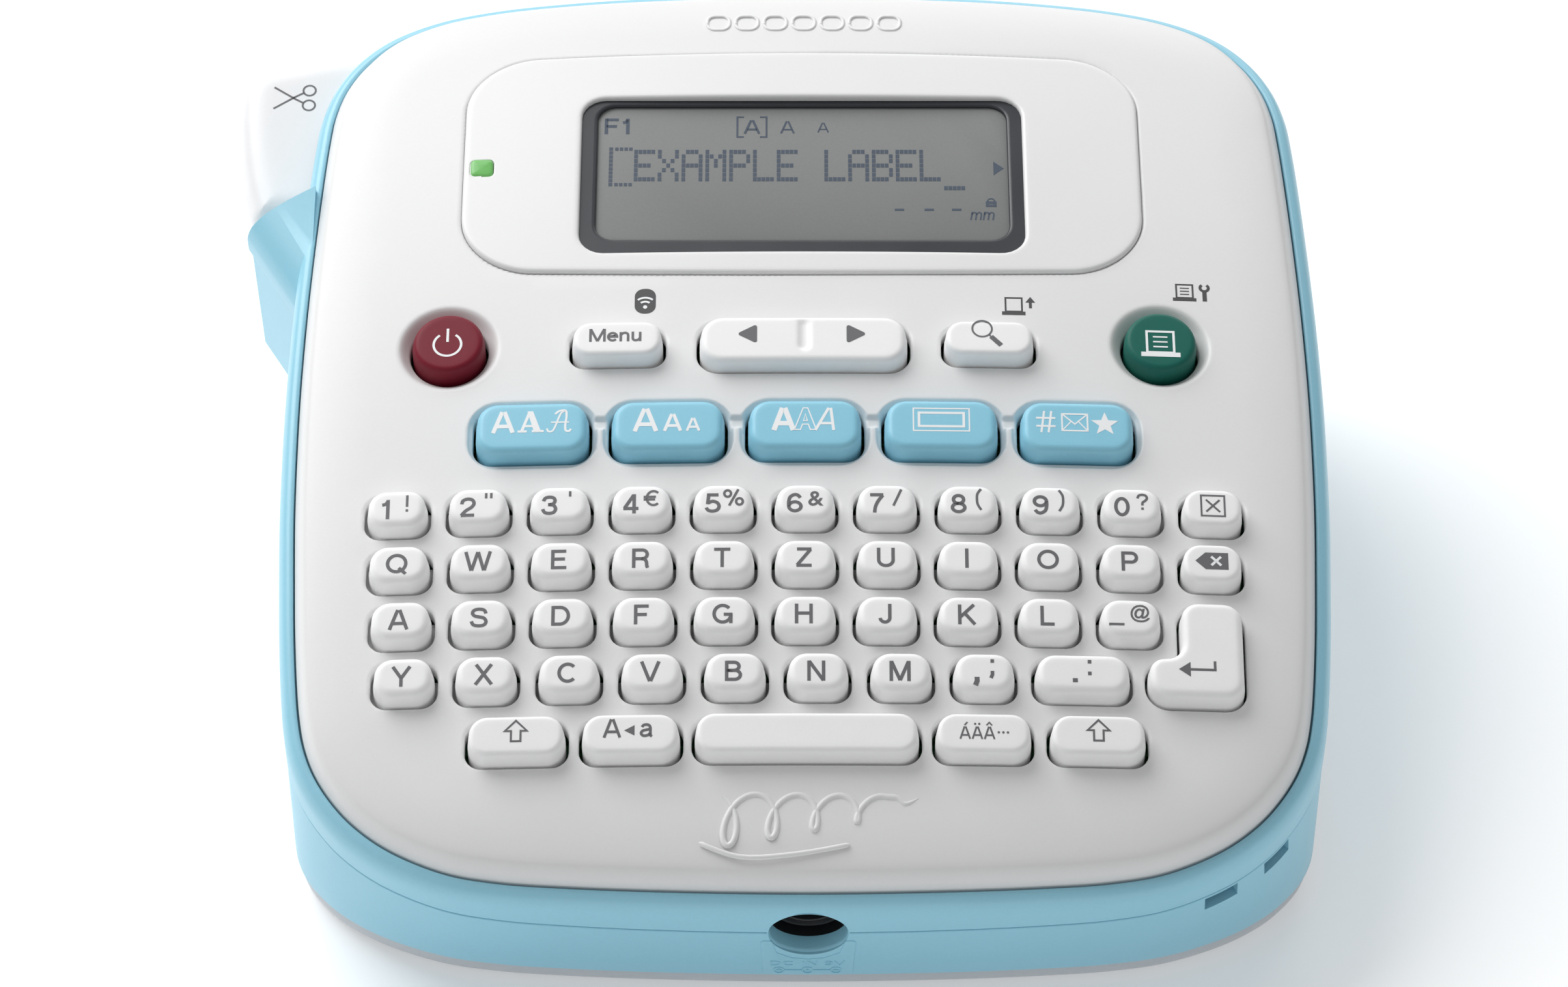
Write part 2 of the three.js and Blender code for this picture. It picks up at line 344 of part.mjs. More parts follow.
// ---------------------------------------------------------------- board, socket, power
const board = cut(slab([[-64, -26], [-62, -36], [-54, -47], [-40, -50], [40, -50], [54, -47], [62, -36], [64, -26], [64, 34], [-64, 34]], BOARD_TOP - BOARD_T, BOARD_TOP));
const jack = joined(cut(rodV(5.0, JACK_X, -56.6, -46.5, JACK_N, 16), rodV(3.2, JACK_X, -60, -47.6, JACK_N, 14)), rodV(0.8, JACK_X, -55.8, -47.4, JACK_N, 8));
const BAT_N = -20.6, BAT_R = 5.15, BAT_V = [-28.4, -17.5, -6.6], BAT_X = [-23.2, 23.2], BAT_L = 44.0;
const tray = cut(box(-49.6, 49.6, -35.4, 0.4, -25.5, -13.2), box(-48.2, 48.2, -34.0, -1.0, -30, -14.6), box(-53, 53, -34.0, -1.0, -30, -24.0));
const battery = (x, v, flip) => joined(rodX(BAT_R, x - BAT_L / 2, x + BAT_L / 2, v, BAT_N, 14), rodX(1.9, x + flip * (BAT_L / 2 + 0.4) - 0.5, x + flip * (BAT_L / 2 + 0.4) + 0.5, v, BAT_N, 10));
const contact = (x) => joined(box(x - 0.25, x + 0.25, -33.4, -1.6, -24.6, -16.4), box(x - 0.25, x + 0.25, -12.5, -10, -16.5, -15.1));

// ---------------------------------------------------------------- materials and scene graph
const std = (color, roughness, metalness = 0) => new THREE.MeshStandardMaterial({ color, roughness, metalness });
const WHITE = 0xe6e6e7, BLUE = 0x86c6db, KEYWHITE = 0xe9e9ea;
const deck = new THREE.Group();
deck.applyMatrix4(deckM);
const table = new THREE.Group();
const add = (group, name, geometry, material) => {
  const mesh = new THREE.Mesh(geometry.isBufferGeometry ? geometry : geometryOf(geometry), material);
  mesh.name = name;
  group.add(mesh);
  return mesh;
};
add(deck, "top_cover", cover, std(WHITE, 0.5));
add(deck, "middle_frame", frame, std(BLUE, 0.4));
add(table, "lower_case", lower, std(BLUE, 0.42));
add(table, "back_cover", baseSolid, std(0xd9dadb, 0.5));
add(deck, "display_bezel", bezelBody, std(WHITE, 0.45));

// Display window and glass lie on a plane that touches the crown under the window.
const lens = new THREE.Group();
lens.position.set(-0.3, 56.25, surf(-0.3, 56.25));
lens.rotation.x = -Math.atan((56.25 - CROWN_V0) / CROWN_V);
deck.add(lens);
add(lens, "display_window", solid(slab(rect(-31.7, 31.7, -14.35, 14.3, 3.2, 3), -2.1, -1.15)), std(0x2b2d30, 0.2));
add(lens, "lcd_panel", box(-31.0, 31.0, -15.0, 14.6, -5.0, -2.5), std(0x80827f, 0.3));
add(deck, "status_light_pipe", solid(slab(rect(-48.3, -44.95, 56.15, 59.2, 0.8, 2), surf(-46.5, 57.6) - 3.4, surf(-46.5, 57.6) + 0.35)), std(0x74d46c, 0.25));

add(deck, "main_board", board, std(0x2f6b46, 0.6));
add(deck, "dc_jack", jack, std(0x18191b, 0.5));
add(deck, "battery_tray", tray, std(0x3a3d40, 0.6));
let b = 0;
for (const v of BAT_V) for (const x of BAT_X) add(deck, "battery_" + ++b, battery(x, v, b % 2 ? 1 : -1), std(0x3c4652, 0.4, 0.3));
add(deck, "battery_contact_left", contact(-47.4), std(0xc4c6c8, 0.35, 0.9));
add(deck, "battery_contact_right", contact(47.4), std(0xc4c6c8, 0.35, 0.9));
add(deck, "drive_chassis", chassis, std(0xa9adb0, 0.4, 0.8));
add(deck, "tape_cassette", cassette, std(0xd7d3c6, 0.5));
add(deck, "print_head", printHead, std(0x5a4632, 0.4));
add(deck, "head_heat_sink", heatSink, std(0xb9bcbe, 0.4, 0.8));
add(deck, "drive_motor", motor, std(0xb0b3b6, 0.35, 0.85));
add(deck, "motor_pinion", pinion, std(0xc9a34a, 0.35, 0.8));
add(deck, "idler_gear", idler, std(0xe4e2da, 0.5));
add(deck, "platen_roller", platenGear, std(0x2a2a2a, 0.8));
add(deck, "ribbon_drive_shaft", ribbonShaft, std(0xe4e2da, 0.5));
add(deck, "cutter_lever", lever, std(WHITE, 0.45));
add(deck, "cutter_blade", joined(box(-69.6, -69.1, 61.2, 67.5, -36, -27.2), box(-69.6, -66.6, 66.6, 67.5, -36, -27.2)), std(0xc8cacc, 0.25, 0.95));

// Keys: four rows of character keys, each row one moulding with a web under the cover, and single keys with a flange.
for (const [name, row] of Object.entries(ROWS)) {
  const xs = row.keys.map((k) => [k[1] - k[3] / 2, k[1] + k[3] / 2]), f = row.keys[0][2];
  const web = box(Math.min(...xs.map((a) => a[0])) - 0.7, Math.max(...xs.map((a) => a[1])) + 0.7, f + 0.9, f + 5.3, row.web - 1.0, row.web);
  add(deck, name, joined(web, ...row.keys.map(([, x, fr, w, d]) => stem(keyOutline(x, fr, w, d), KEY_RISE))), std(KEYWHITE, 0.5));
}
const single = (pts, rise) => {
  const flange = slab(grown(pts, 0.8), STEM_END, Math.min(...pts.map(([x, v]) => surf(x, v))) - COVER_T - 1.35);
  return joined(stem(pts, rise), flange);
};
for (const [name, [x, f, w, d]] of Object.entries(SINGLE)) {
  const blue = d > 8;
  add(deck, name, single(keyOutline(x, f, w, d, 0, blue ? 3.2 : 2.7), blue ? 2.2 : KEY_RISE), blue ? std(0x8fd0e2, 0.45) : std(KEYWHITE, 0.5));
}
add(deck, "key_enter", single(ENTER, KEY_RISE), std(KEYWHITE, 0.5));
add(deck, "key_power", single(circle(...POWER), 1.6), std(0x7b2a40, 0.45));
add(deck, "key_print", single(circle(...PRINT), 1.6), std(0x2d6a62, 0.45));
// The cursor key is a rocker: it tips left and right about an axis along v under its middle.
const rocker = joined(stem(keyOutline(...ARROW, 0, 3.2), 2.4, -6.2), slab(grown(keyOutline(...ARROW, 0, 3.2), 0.7), -6.2, -3.9), rodV(0.9, ARROW[0], ARROW[1] + 1, ARROW[1] + 7.2, -6.9, 8));
add(deck, "key_cursor", rocker, std(KEYWHITE, 0.5));

// Four feet under the back cover.
[["foot_front_left", -48, -40], ["foot_front_right", 58, -40], ["foot_rear_left", -48, 58], ["foot_rear_right", 58, 58]].forEach(([name, x, y]) =>
  add(table, name, new THREE.CylinderGeometry(4.2, 4.2, BASE_BOTTOM - 0.3, 16).rotateX(Math.PI / 2).translate(x, y, (BASE_BOTTOM - 0.3) / 2), std(0x2b2c2e, 0.8)));

const labelMaker = new THREE.Group();
labelMaker.name = "label_maker";
labelMaker.add(deck, table);
export default labelMaker;
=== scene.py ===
import math

import bmesh
import bpy
import numpy as np
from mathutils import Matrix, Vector
from mathutils.geometry import delaunay_2d_cdt


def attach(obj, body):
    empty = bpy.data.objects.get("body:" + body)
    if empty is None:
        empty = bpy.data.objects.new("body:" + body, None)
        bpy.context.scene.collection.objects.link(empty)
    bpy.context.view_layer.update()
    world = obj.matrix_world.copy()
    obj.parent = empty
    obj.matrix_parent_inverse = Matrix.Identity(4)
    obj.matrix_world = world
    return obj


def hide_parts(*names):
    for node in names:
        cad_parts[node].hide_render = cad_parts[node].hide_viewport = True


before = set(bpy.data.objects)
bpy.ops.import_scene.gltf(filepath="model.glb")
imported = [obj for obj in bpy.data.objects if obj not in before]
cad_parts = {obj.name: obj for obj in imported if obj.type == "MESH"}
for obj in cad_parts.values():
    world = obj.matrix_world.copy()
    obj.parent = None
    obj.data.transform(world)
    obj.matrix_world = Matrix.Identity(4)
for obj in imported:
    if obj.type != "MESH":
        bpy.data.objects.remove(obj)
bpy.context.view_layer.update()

# ------------------------------------------------------------------ the deck frame, in millimetres, and its shapes
TILT = math.radians(18)
CT, ST = math.cos(TILT), math.sin(TILT)
SIDE, BACK, LIFT = 5.24, -21.17, 48.3
SEAM_N = -15.8
EDGE_DROP = 3.4
BASE_TOP, BASE_BOTTOM = 3.4, 0.7

HALF = [(0, 94.2), (18, 93.9), (33, 93.1), (46, 91.6), (54.3, 89.5), (60.6, 86.2), (64.7, 82.0), (67.4, 77.0), (68.8, 71.7), (69.35, 66.4),
        (69.7, 61.3), (70.25, 51.3), (70.7, 41.6), (71.05, 32.2), (71.3, 20.0), (71.3, 9.8), (71.15, 0), (70.7, -11.3), (70.3, -19.4), (69.7, -27.4),
        (69.25, -31.4), (68.5, -35.3), (67.1, -39.2), (64.8, -43.1), (61.5, -47.0), (56.4, -50.9), (48.6, -54.4), (41.2, -55.9), (32.4, -56.7), (19.2, -57.4), (0, -57.8)]


def surf(x, v):
    return -(x * x) / (2 * 920.0) - (v - 7.7) ** 2 / (2 * 435.0)


def deck_to_world(p):
    """Deck millimetres to row metres."""
    p = np.asarray(p, float)
    x, v, n = p[..., 0], p[..., 1], p[..., 2]
    return np.stack([x + SIDE, BACK + v * CT - n * ST, LIFT + v * ST + n * CT], -1) / 1000.0


def cols(x, v, n):
    x, v, n = np.broadcast_arrays(np.asarray(x, float), np.asarray(v, float), np.asarray(n, float))
    return np.stack([x, v, n], -1)


def catmull(points, closed=True, m=24):
    P = np.asarray(points, float)
    n, out = len(P), []
    for i in range(n if closed else n - 1):
        idx = [(i + k) % n if closed else min(max(i + k, 0), n - 1) for k in (-1, 0, 1, 2)]
        p0, p1, p2, p3 = P[idx]
        d = lambda a, b: max(np.linalg.norm(b - a), 1e-6) ** 0.5
        t0 = 0.0
        t1 = t0 + d(p0, p1); t2 = t1 + d(p1, p2); t3 = t2 + d(p2, p3)
        t = np.linspace(t1, t2, m, endpoint=False)[:, None]
        a1 = (t1 - t) / (t1 - t0) * p0 + (t - t0) / (t1 - t0) * p1
        a2 = (t2 - t) / (t2 - t1) * p1 + (t - t1) / (t2 - t1) * p2
        a3 = (t3 - t) / (t3 - t2) * p2 + (t - t2) / (t3 - t2) * p3
        b1 = (t2 - t) / (t2 - t0) * a1 + (t - t0) / (t2 - t0) * a2
        b2 = (t3 - t) / (t3 - t1) * a2 + (t - t1) / (t3 - t1) * a3
        out.append((t2 - t) / (t2 - t1) * b1 + (t - t1) / (t2 - t1) * b2)
    out = np.concatenate(out)
    return out if closed else np.concatenate([out, P[-1:]])


def resample(loop, count, closed=True):
    P = np.asarray(loop, float)
    Q = np.concatenate([P, P[:1]]) if closed else P
    s = np.concatenate([[0], np.cumsum(np.linalg.norm(np.diff(Q, axis=0), axis=1))])
    t = np.linspace(0, s[-1], count, endpoint=not closed)
    return np.stack([np.interp(t, s, Q[:, k]) for k in range(Q.shape[1])], -1)


def perimeter(loop):
    P = np.asarray(loop, float)
    return float(np.linalg.norm(np.roll(P, -1, 0) - P, axis=1).sum())


def ccw(loop):
    P = np.asarray(loop, float)
    a = 0.5 * np.sum(P[:, 0] * np.roll(P[:, 1], -1) - np.roll(P[:, 0], -1) * P[:, 1])
    return P if a > 0 else P[::-1].copy()


def normals2(loop):
    """Outward normals of a closed counter-clockwise loop, scaled so that an offset keeps its distance at corners."""
    P = np.asarray(loop, float)
    e = np.roll(P, -1, 0) - P
    e /= np.maximum(np.linalg.norm(e, axis=1, keepdims=True), 1e-9)
    nrm = np.stack([e[:, 1], -e[:, 0]], -1)
    s = nrm + np.roll(nrm, 1, 0)
    q = np.maximum((s * s).sum(1, keepdims=True) / 2, 0.35)
    return s / q


def round_poly(points, r, seg=7):
    """A polygon with its corners rounded; r is one radius or one for each corner."""
    P = ccw(points)
    n, out = len(P), []
    rs = list(r) if isinstance(r, (list, tuple)) else [r] * n
    for i in range(n):
        a, b, c = P[i - 1], P[i], P[(i + 1) % n]
        u, w = a - b, c - b
        lu, lw = np.linalg.norm(u), np.linalg.norm(w)
        u, w = u / lu, w / lw
        ang = math.acos(max(-1, min(1, float(u @ w))))
        cutlen = min(rs[i] / max(math.tan(ang / 2), 1e-6), 0.49 * lu, 0.49 * lw)
        if cutlen < 1e-3:
            out.append(b[None]); continue
        s, e = b + u * cutlen, b + w * cutlen
        t = np.linspace(0, 1, seg + 1)[:, None]
        # a conic through the corner, close to a circular arc
        k = math.sin(ang / 2)
        wgt = 2 * (1 - t) * t * k
        den = (1 - t) ** 2 + wgt + t ** 2
        out.append(((1 - t) ** 2 * s + wgt * b + t ** 2 * e) / den)
    return np.concatenate(out)


def rounded_rect(cx, cv, w, d, r, step=0.55):
    a, b = w / 2, d / 2
    P = round_poly([(cx - a, cv - b), (cx + a, cv - b), (cx + a, cv + b), (cx - a, cv + b)], r, 12)
    return ccw(resample(P, max(40, int(perimeter(P) / step))))


def circle(cx, cv, r, n=64):
    t = np.arange(n) / n * 2 * math.pi
    return np.stack([cx + r * np.cos(t), cv + r * np.sin(t)], -1)


def sdf(P, loop):
    """Signed distance of points to a closed loop, less than zero inside."""
    P = np.asarray(P, float)
    A = np.asarray(loop, float); B = np.roll(A, -1, 0)
    out = np.empty(len(P))
    for s in range(0, len(P), 3000):
        Q = P[s:s + 3000, None, :]
        ab = (B - A)[None]; ap = Q - A[None]
        t = np.clip((ap * ab).sum(-1) / np.maximum((ab * ab).sum(-1), 1e-12), 0, 1)
        d = np.sqrt(((ap - t[..., None] * ab) ** 2).sum(-1)).min(1)
        y, x = Q[..., 1], Q[..., 0]
        cond = (A[None, :, 1] > y) != (B[None, :, 1] > y)
        with np.errstate(divide="ignore", invalid="ignore"):
            xi = A[None, :, 0] + (y - A[None, :, 1]) / (B[None, :, 1] - A[None, :, 1]) * (B[None, :, 0] - A[None, :, 0])
        inside = (np.sum(cond & (x < xi), axis=1) % 2) == 1
        out[s:s + 3000] = np.where(inside, -d, d)
    return out


def near_sdf(P, loop, reach, far=99.0):
    lo, hi = loop.min(0) - reach, loop.max(0) + reach
    m = np.all((P > lo) & (P < hi), axis=1)
    out = np.full(len(P), far)
    if m.any():
        out[m] = sdf(P[m], loop)
    return out


def smooth01(a, b, d):
    t = np.clip((d - a) / (b - a), 0, 1)
    return t * t * (3 - 2 * t)


def roundover(d, r):
    """Drop of a quarter-round edge of radius r at distance d from the edge."""
    q = np.clip(1 - d / r, 0, 1)
    return r * (1 - np.sqrt(np.maximum(1 - q * q, 0)))


# The outline of the housing, with more points where it turns.
def make_outline(count):
    P = ccw(resample(catmull([*HALF, *[(-x, v) for x, v in HALF[1:-1][::-1]]]), 2400))
    n = len(P)
    d = np.roll(P, -7, 0) - np.roll(P, 7, 0)
    d /= np.linalg.norm(d, axis=1, keepdims=True)
    turn = np.degrees(np.arccos(np.clip((d * np.roll(d, -1, 0)).sum(1), -1, 1)))
    step = np.linalg.norm(np.roll(P, -1, 0) - P, axis=1)
    cost = np.cumsum(turn / 9.5 + step / 14)
    pick = [int(np.searchsorted(cost, (j + 0.5) / count * cost[-1])) % n for j in range(count)]
    N = np.stack([d[:, 1], -d[:, 0]], -1)
    return P[pick], N[pick]


OP, ON = make_outline(340)
NO = len(OP)


def ring_xy(o):
    return OP + ON * np.asarray(o)[..., None] if np.ndim(o) else OP + ON * o


rearward, frontward = np.maximum(0, ON[:, 1]), np.maximum(0, -ON[:, 1])
edge_top = surf(OP[:, 0], OP[:, 1]) - EDGE_DROP
seam_at = SEAM_N - 1.2 * np.clip((OP[:, 1] - 52) / 42, 0, 1) ** 2


def lean(n):
    return -rearward * math.tan(TILT) * np.maximum(0, edge_top - 2 - n)


def frame_ring(o, n):
    n = np.broadcast_to(n, (NO,)).astype(float)
    xy = ring_xy(o + lean(n))
    return deck_to_world(cols(xy[:, 0], xy[:, 1], n))


def lower_ring(o, drop=0.0):
    n = seam_at - 0.3 - drop
    xy = ring_xy(o + lean(seam_at))
    return deck_to_world(cols(xy[:, 0], xy[:, 1], n))


def lower_down(o, z):
    top = lower_ring(o) * 1000.0
    drop = top[:, 2] - z
    top[:, 1] += drop * math.tan(TILT) * 0.8 * frontward ** 1.2 - drop * 0.02 * rearward
    top[:, 0] -= np.sign(ON[:, 0]) * drop * 0.015 * np.abs(ON[:, 0])
    top[:, 2] = z
    return top / 1000.0


# ------------------------------------------------------------------ meshes
class Shape:
    """Points in row metres and faces, gathered into one mesh."""

    def __init__(self):
        self.v, self.f, self.n = [], [], 0

    def add(self, verts, faces):
        verts = np.asarray(verts, float).reshape(-1, 3)
        self.v.append(verts)
        self.f.extend([tuple(int(i) + self.n for i in f) for f in faces])
        self.n += len(verts)
        return self

    def band(self, rings, wrap=False, cap_first=None, cap_last=None):
        """Rings of points joined by quads. A cap is a centre point, or True for one flat face."""
        k, m = len(rings), len(rings[0])
        V = np.concatenate(rings)
        j = np.arange(m); jn = (j + 1) % m
        F = []
        for r in range(k if wrap else k - 1):
            a, b = r * m, ((r + 1) % k) * m
            F.extend(np.stack([a + j, a + jn, b + jn, b + j], -1).tolist())
        extra = []
        for cap, start, flip in ((cap_first, 0, True), (cap_last, (k - 1) * m, False)):
            if cap is None:
                continue
            if cap is True:
                f = list(range(start, start + m))
                F.append(f[::-1] if flip else f)
            else:
                c = len(V) + len(extra)
                extra.append(np.asarray(cap, float))
                for q in range(m):
                    t = [start + q, start + (q + 1) % m, c]
                    F.append(t[::-1] if flip else t)
        if extra:
            V = np.concatenate([V, np.array(extra)])
        return self.add(V, F)

    def object(self, name, material, body, angle=35.0, replaces=(), slot=None, weld=0.0, flip_check=True):
        me = bpy.data.meshes.new(name)
        me.from_pydata(np.concatenate(self.v).tolist(), [], self.f)
        ob = bpy.data.objects.new(name, me)
        bpy.context.scene.collection.objects.link(ob)
        tidy(me, weld, flip_check)
        return dress(ob, material, body, angle, replaces)


def tidy(me, weld=0.0, normals=True):
    bm = bmesh.new()
    bm.from_mesh(me)
    if weld:
        bmesh.ops.remove_doubles(bm, verts=bm.verts, dist=weld)
    if normals:
        bmesh.ops.recalc_face_normals(bm, faces=bm.faces)
    bm.to_mesh(me)
    bm.free()


def dress(ob, material, body, angle=35.0, replaces=()):
    me = ob.data
    me.shade_smooth()
    me.set_sharp_from_angle(angle=math.radians(angle))
    me.materials.clear()
    for m in (material if isinstance(material, (list, tuple)) else [material]):
        me.materials.append(m)
    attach(ob, body)
    if replaces:
        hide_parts(*replaces)
    return ob


def temp(shape):
    me = bpy.data.meshes.new("tool")
    me.from_pydata(np.concatenate(shape.v).tolist(), [], shape.f)
    tidy(me, 1e-7)
    ob = bpy.data.objects.new("tool", me)
    bpy.context.scene.collection.objects.link(ob)
    return ob


def boolean(ob, shape, operation="DIFFERENCE"):
    tool = temp(shape)
    mod = ob.modifiers.new("cut", "BOOLEAN")
    mod.object, mod.operation, mod.solver = tool, operation, "EXACT"
    bpy.context.view_layer.update()
    done = bpy.data.meshes.new_from_object(ob.evaluated_get(bpy.context.evaluated_depsgraph_get()))
    ob.modifiers.clear()
    old, ob.data = ob.data, done
    bpy.data.meshes.remove(old)
    bpy.data.objects.remove(tool)
    return ob


def prism(shape, loop, low, high):
    """A closed prism over a loop. low and high give points for an (n, 2) array, or are two levels of n in the deck frame."""
    loop = ccw(loop)
    place = [f if callable(f) else (lambda P, f=f: deck_to_world(cols(P[:, 0], P[:, 1], f))) for f in (low, high)]
    return shape.band([place[0](loop), place[1](loop)], cap_first=True, cap_last=True)


def fill(outer, holes, inner_points):
    """Triangles between an outer loop and holes, through given points. Returns points, triangles and the loop numbers."""
    loops = [ccw(outer), *[ccw(h) for h in holes]]
    pts = np.concatenate([*loops, inner_points]) if len(inner_points) else np.concatenate(loops)
    tag = np.full(len(pts), -1)
    edges, at = [], 0
    for i, l in enumerate(loops):
        k = len(l)
        tag[at:at + k] = i
        edges.extend([(at + q, at + (q + 1) % k) for q in range(k)])
        at += k
    V, _, F, OV, _, _ = delaunay_2d_cdt([Vector(p) for p in pts], edges, [], 0, 1e-6)
    V = np.array([tuple(p) for p in V])
    first = np.array([o[0] if o else -1 for o in OV])
    vt = np.where(first >= 0, tag[first], -1)
    F = np.array([f for f in F if len(f) == 3])
    same = (vt[F[:, 0]] >= 0) & (vt[F[:, 0]] == vt[F[:, 1]]) & (vt[F[:, 0]] == vt[F[:, 2]])
    keep = np.ones(len(F), bool)
    mid = V[F].mean(1)
    for i, l in enumerate(loops):
        m = np.where(same & (vt[F[:, 0]] == i))[0]
        if len(m):
            s = sdf(mid[m], l)
            keep[m] = s < 0 if i == 0 else s > 0
    F = F[keep]
    order = {int(o): j for j, o in enumerate(first) if o >= 0}
    at, index = 0, []
    for l in loops:
        index.append([order[at + q] for q in range(len(l))])
        at += len(l)
    return V, F, index


def grid(lo, hi, step):
    ys = np.arange(lo[1], hi[1], step * 0.866)
    out = []
    for i, y in enumerate(ys):
        xs = np.arange(lo[0] + (step / 2 if i % 2 else 0), hi[0], step)
        out.append(np.stack([xs, np.full(len(xs), y)], -1))
    return np.concatenate(out)


def plate(shape, outer, holes, points, top, bottom):
    """A closed plate: top and bottom give n for an (n, 2) array of points."""
    V, F, index = fill(outer, holes, points)
    k = len(V)
    A, Bt = deck_to_world(cols(V[:, 0], V[:, 1], top(V))), deck_to_world(cols(V[:, 0], V[:, 1], bottom(V)))
    faces = F.tolist() + [[k + f[2], k + f[1], k + f[0]] for f in F.tolist()]
    for i, loop in enumerate(index):
        m = len(loop)
        for q in range(m):
            a, b = loop[q], loop[(q + 1) % m]
            faces.append([a, k + a, k + b, b] if i == 0 else [b, k + b, k + a, a])
    return shape.add(np.concatenate([A, Bt]), faces)


# ------------------------------------------------------------------ materials, all from nodes
def rgb(r, g, b):
    """Linear colour from 0-255 sRGB."""
    f = lambda c: (c / 255 / 12.92) if c <= 10.3 else ((c / 255 + 0.055) / 1.055) ** 2.4
    return (f(r), f(g), f(b), 1.0)


def finish_of(name, colour, rough=0.45, metal=0.0, spread=0.03, grain=0.16, bump=0.02, specular=0.5, coat=0.0, sheen=0.0, coarse=9.0, streak=None, extra=None):
    """A moulded or metal surface. grain is the size of its texture and coarse that of its shade changes, in millimetres."""
    m = bpy.data.materials.new(name)
    m.use_nodes = True
    m.diffuse_color = colour
    nt = m.node_tree
    N, L = nt.nodes, nt.links
    bsdf = N["Principled BSDF"]
    co = N.new("ShaderNodeTexCoord")
    src = co.outputs["Object"]
    if streak:
        mp = N.new("ShaderNodeMapping")
        mp.inputs["Scale"].default_value = streak
        L.new(src, mp.inputs["Vector"])
        src = mp.outputs["Vector"]
    cloud = N.new("ShaderNodeTexNoise")
    cloud.inputs["Scale"].default_value = 1000.0 / coarse
    cloud.inputs["Detail"].default_value = 3.0
    L.new(src, cloud.inputs["Vector"])
    fine = N.new("ShaderNodeTexNoise")
    fine.inputs["Scale"].default_value = 1000.0 / (grain * 2.2)
    fine.inputs["Detail"].default_value = 2.0
    fine.inputs["Roughness"].default_value = 0.6
    L.new(src, fine.inputs["Vector"])
    ramp = N.new("ShaderNodeMix")
    ramp.data_type = "RGBA"
    lo = tuple(c * (1 - spread) for c in colour[:3]) + (1,)
    hi = tuple(min(1, c * (1 + spread)) for c in colour[:3]) + (1,)
    ramp.inputs["A"].default_value = lo
    ramp.inputs["B"].default_value = hi
    L.new(cloud.outputs["Fac"], ramp.inputs["Factor"])
    speck = N.new("ShaderNodeMapRange")
    speck.inputs["From Min"].default_value, speck.inputs["From Max"].default_value = 0.3, 0.7
    speck.inputs["To Min"].default_value, speck.inputs["To Max"].default_value = 1 - spread * 0.5, 1 + spread * 0.3
    L.new(fine.outputs["Fac"], speck.inputs["Value"])
    mul = N.new("ShaderNodeVectorMath")
    mul.operation = "SCALE"
    L.new(ramp.outputs["Result"], mul.inputs[0])
    L.new(speck.outputs["Result"], mul.inputs["Scale"])
    L.new(mul.outputs["Vector"], bsdf.inputs["Base Color"])
    rr = N.new("ShaderNodeMapRange")
    rr.inputs["To Min"].default_value, rr.inputs["To Max"].default_value = max(0.04, rough - 0.06), min(1, rough + 0.06)
    L.new(cloud.outputs["Fac"], rr.inputs["Value"])
    L.new(rr.outputs["Result"], bsdf.inputs["Roughness"])
    if bump:
        bp = N.new("ShaderNodeBump")
        bp.inputs["Strength"].default_value = min(1.0, bump * 10)
        bp.inputs["Distance"].default_value = 0.00002
        L.new(fine.outputs["Fac"], bp.inputs["Height"])
        L.new(bp.outputs["Normal"], bsdf.inputs["Normal"])
    bsdf.inputs["Metallic"].default_value = metal
    bsdf.inputs["Specular IOR Level"].default_value = specular
    if coat:
        bsdf.inputs["Coat Weight"].default_value = coat
        bsdf.inputs["Coat Roughness"].default_value = 0.15
    if sheen:
        bsdf.inputs["Sheen Weight"].default_value = sheen
    if extra:
        extra(nt, bsdf, co)
    return m


M = {}
M["cover"] = finish_of("cover_white_plastic", rgb(233, 233, 233), 0.42, spread=0.018, grain=0.20, bump=0.05, coarse=34)
M["panel"] = finish_of("panel_white_plastic", rgb(234, 234, 234), 0.36, spread=0.015, grain=0.22, bump=0.03, coarse=26)
M["lever"] = finish_of("lever_white_plastic", rgb(236, 236, 237), 0.38, spread=0.02, grain=0.22, bump=0.03, coarse=22)
M["keys"] = finish_of("key_white_plastic", rgb(247, 247, 247), 0.5, spread=0.02, grain=0.14, bump=0.05, coarse=5)
M["blue"] = finish_of("housing_blue_plastic", rgb(152, 210, 230), 0.33, spread=0.03, grain=0.26, bump=0.03, coarse=30)
M["blue_key"] = finish_of("key_blue_plastic", rgb(142, 206, 229), 0.42, spread=0.03, grain=0.16, bump=0.05, coarse=6)
M["base"] = finish_of("base_grey_plastic", rgb(204, 208, 212), 0.48, spread=0.03, grain=0.3, bump=0.06, coarse=24)
M["mask"] = finish_of("window_mask_grey", rgb(48, 51, 56), 0.3, spread=0.05, grain=0.2, bump=0.02, coarse=12)
M["lcd"] = finish_of("lcd_grey", rgb(132, 134, 133), 0.55, spread=0.06, grain=0.16, bump=0.02, coarse=16, specular=0.25)
M["lcd_ink"] = finish_of("lcd_segment_ink", rgb(58, 72, 90), 0.5, spread=0.08, grain=0.16, bump=0.01, coarse=4)
M["ink"] = finish_of("legend_grey_ink", rgb(104, 104, 107), 0.55, spread=0.05, grain=0.12, bump=0.02, coarse=3)
M["ink_dark"] = finish_of("deck_mark_dark_ink", rgb(72, 72, 74), 0.55, spread=0.05, grain=0.12, bump=0.02, coarse=3)
M["ink_white"] = finish_of("legend_white_ink", rgb(244, 246, 247), 0.5, spread=0.02, grain=0.12, bump=0.02, coarse=3)
M["red"] = finish_of("key_wine_red_plastic", rgb(120, 20, 40), 0.5, specular=0.25, spread=0.06, grain=0.16, bump=0.04, coarse=5)
M["green"] = finish_of("key_dark_green_plastic", rgb(20, 100, 88), 0.5, specular=0.25, spread=0.06, grain=0.16, bump=0.04, coarse=5)
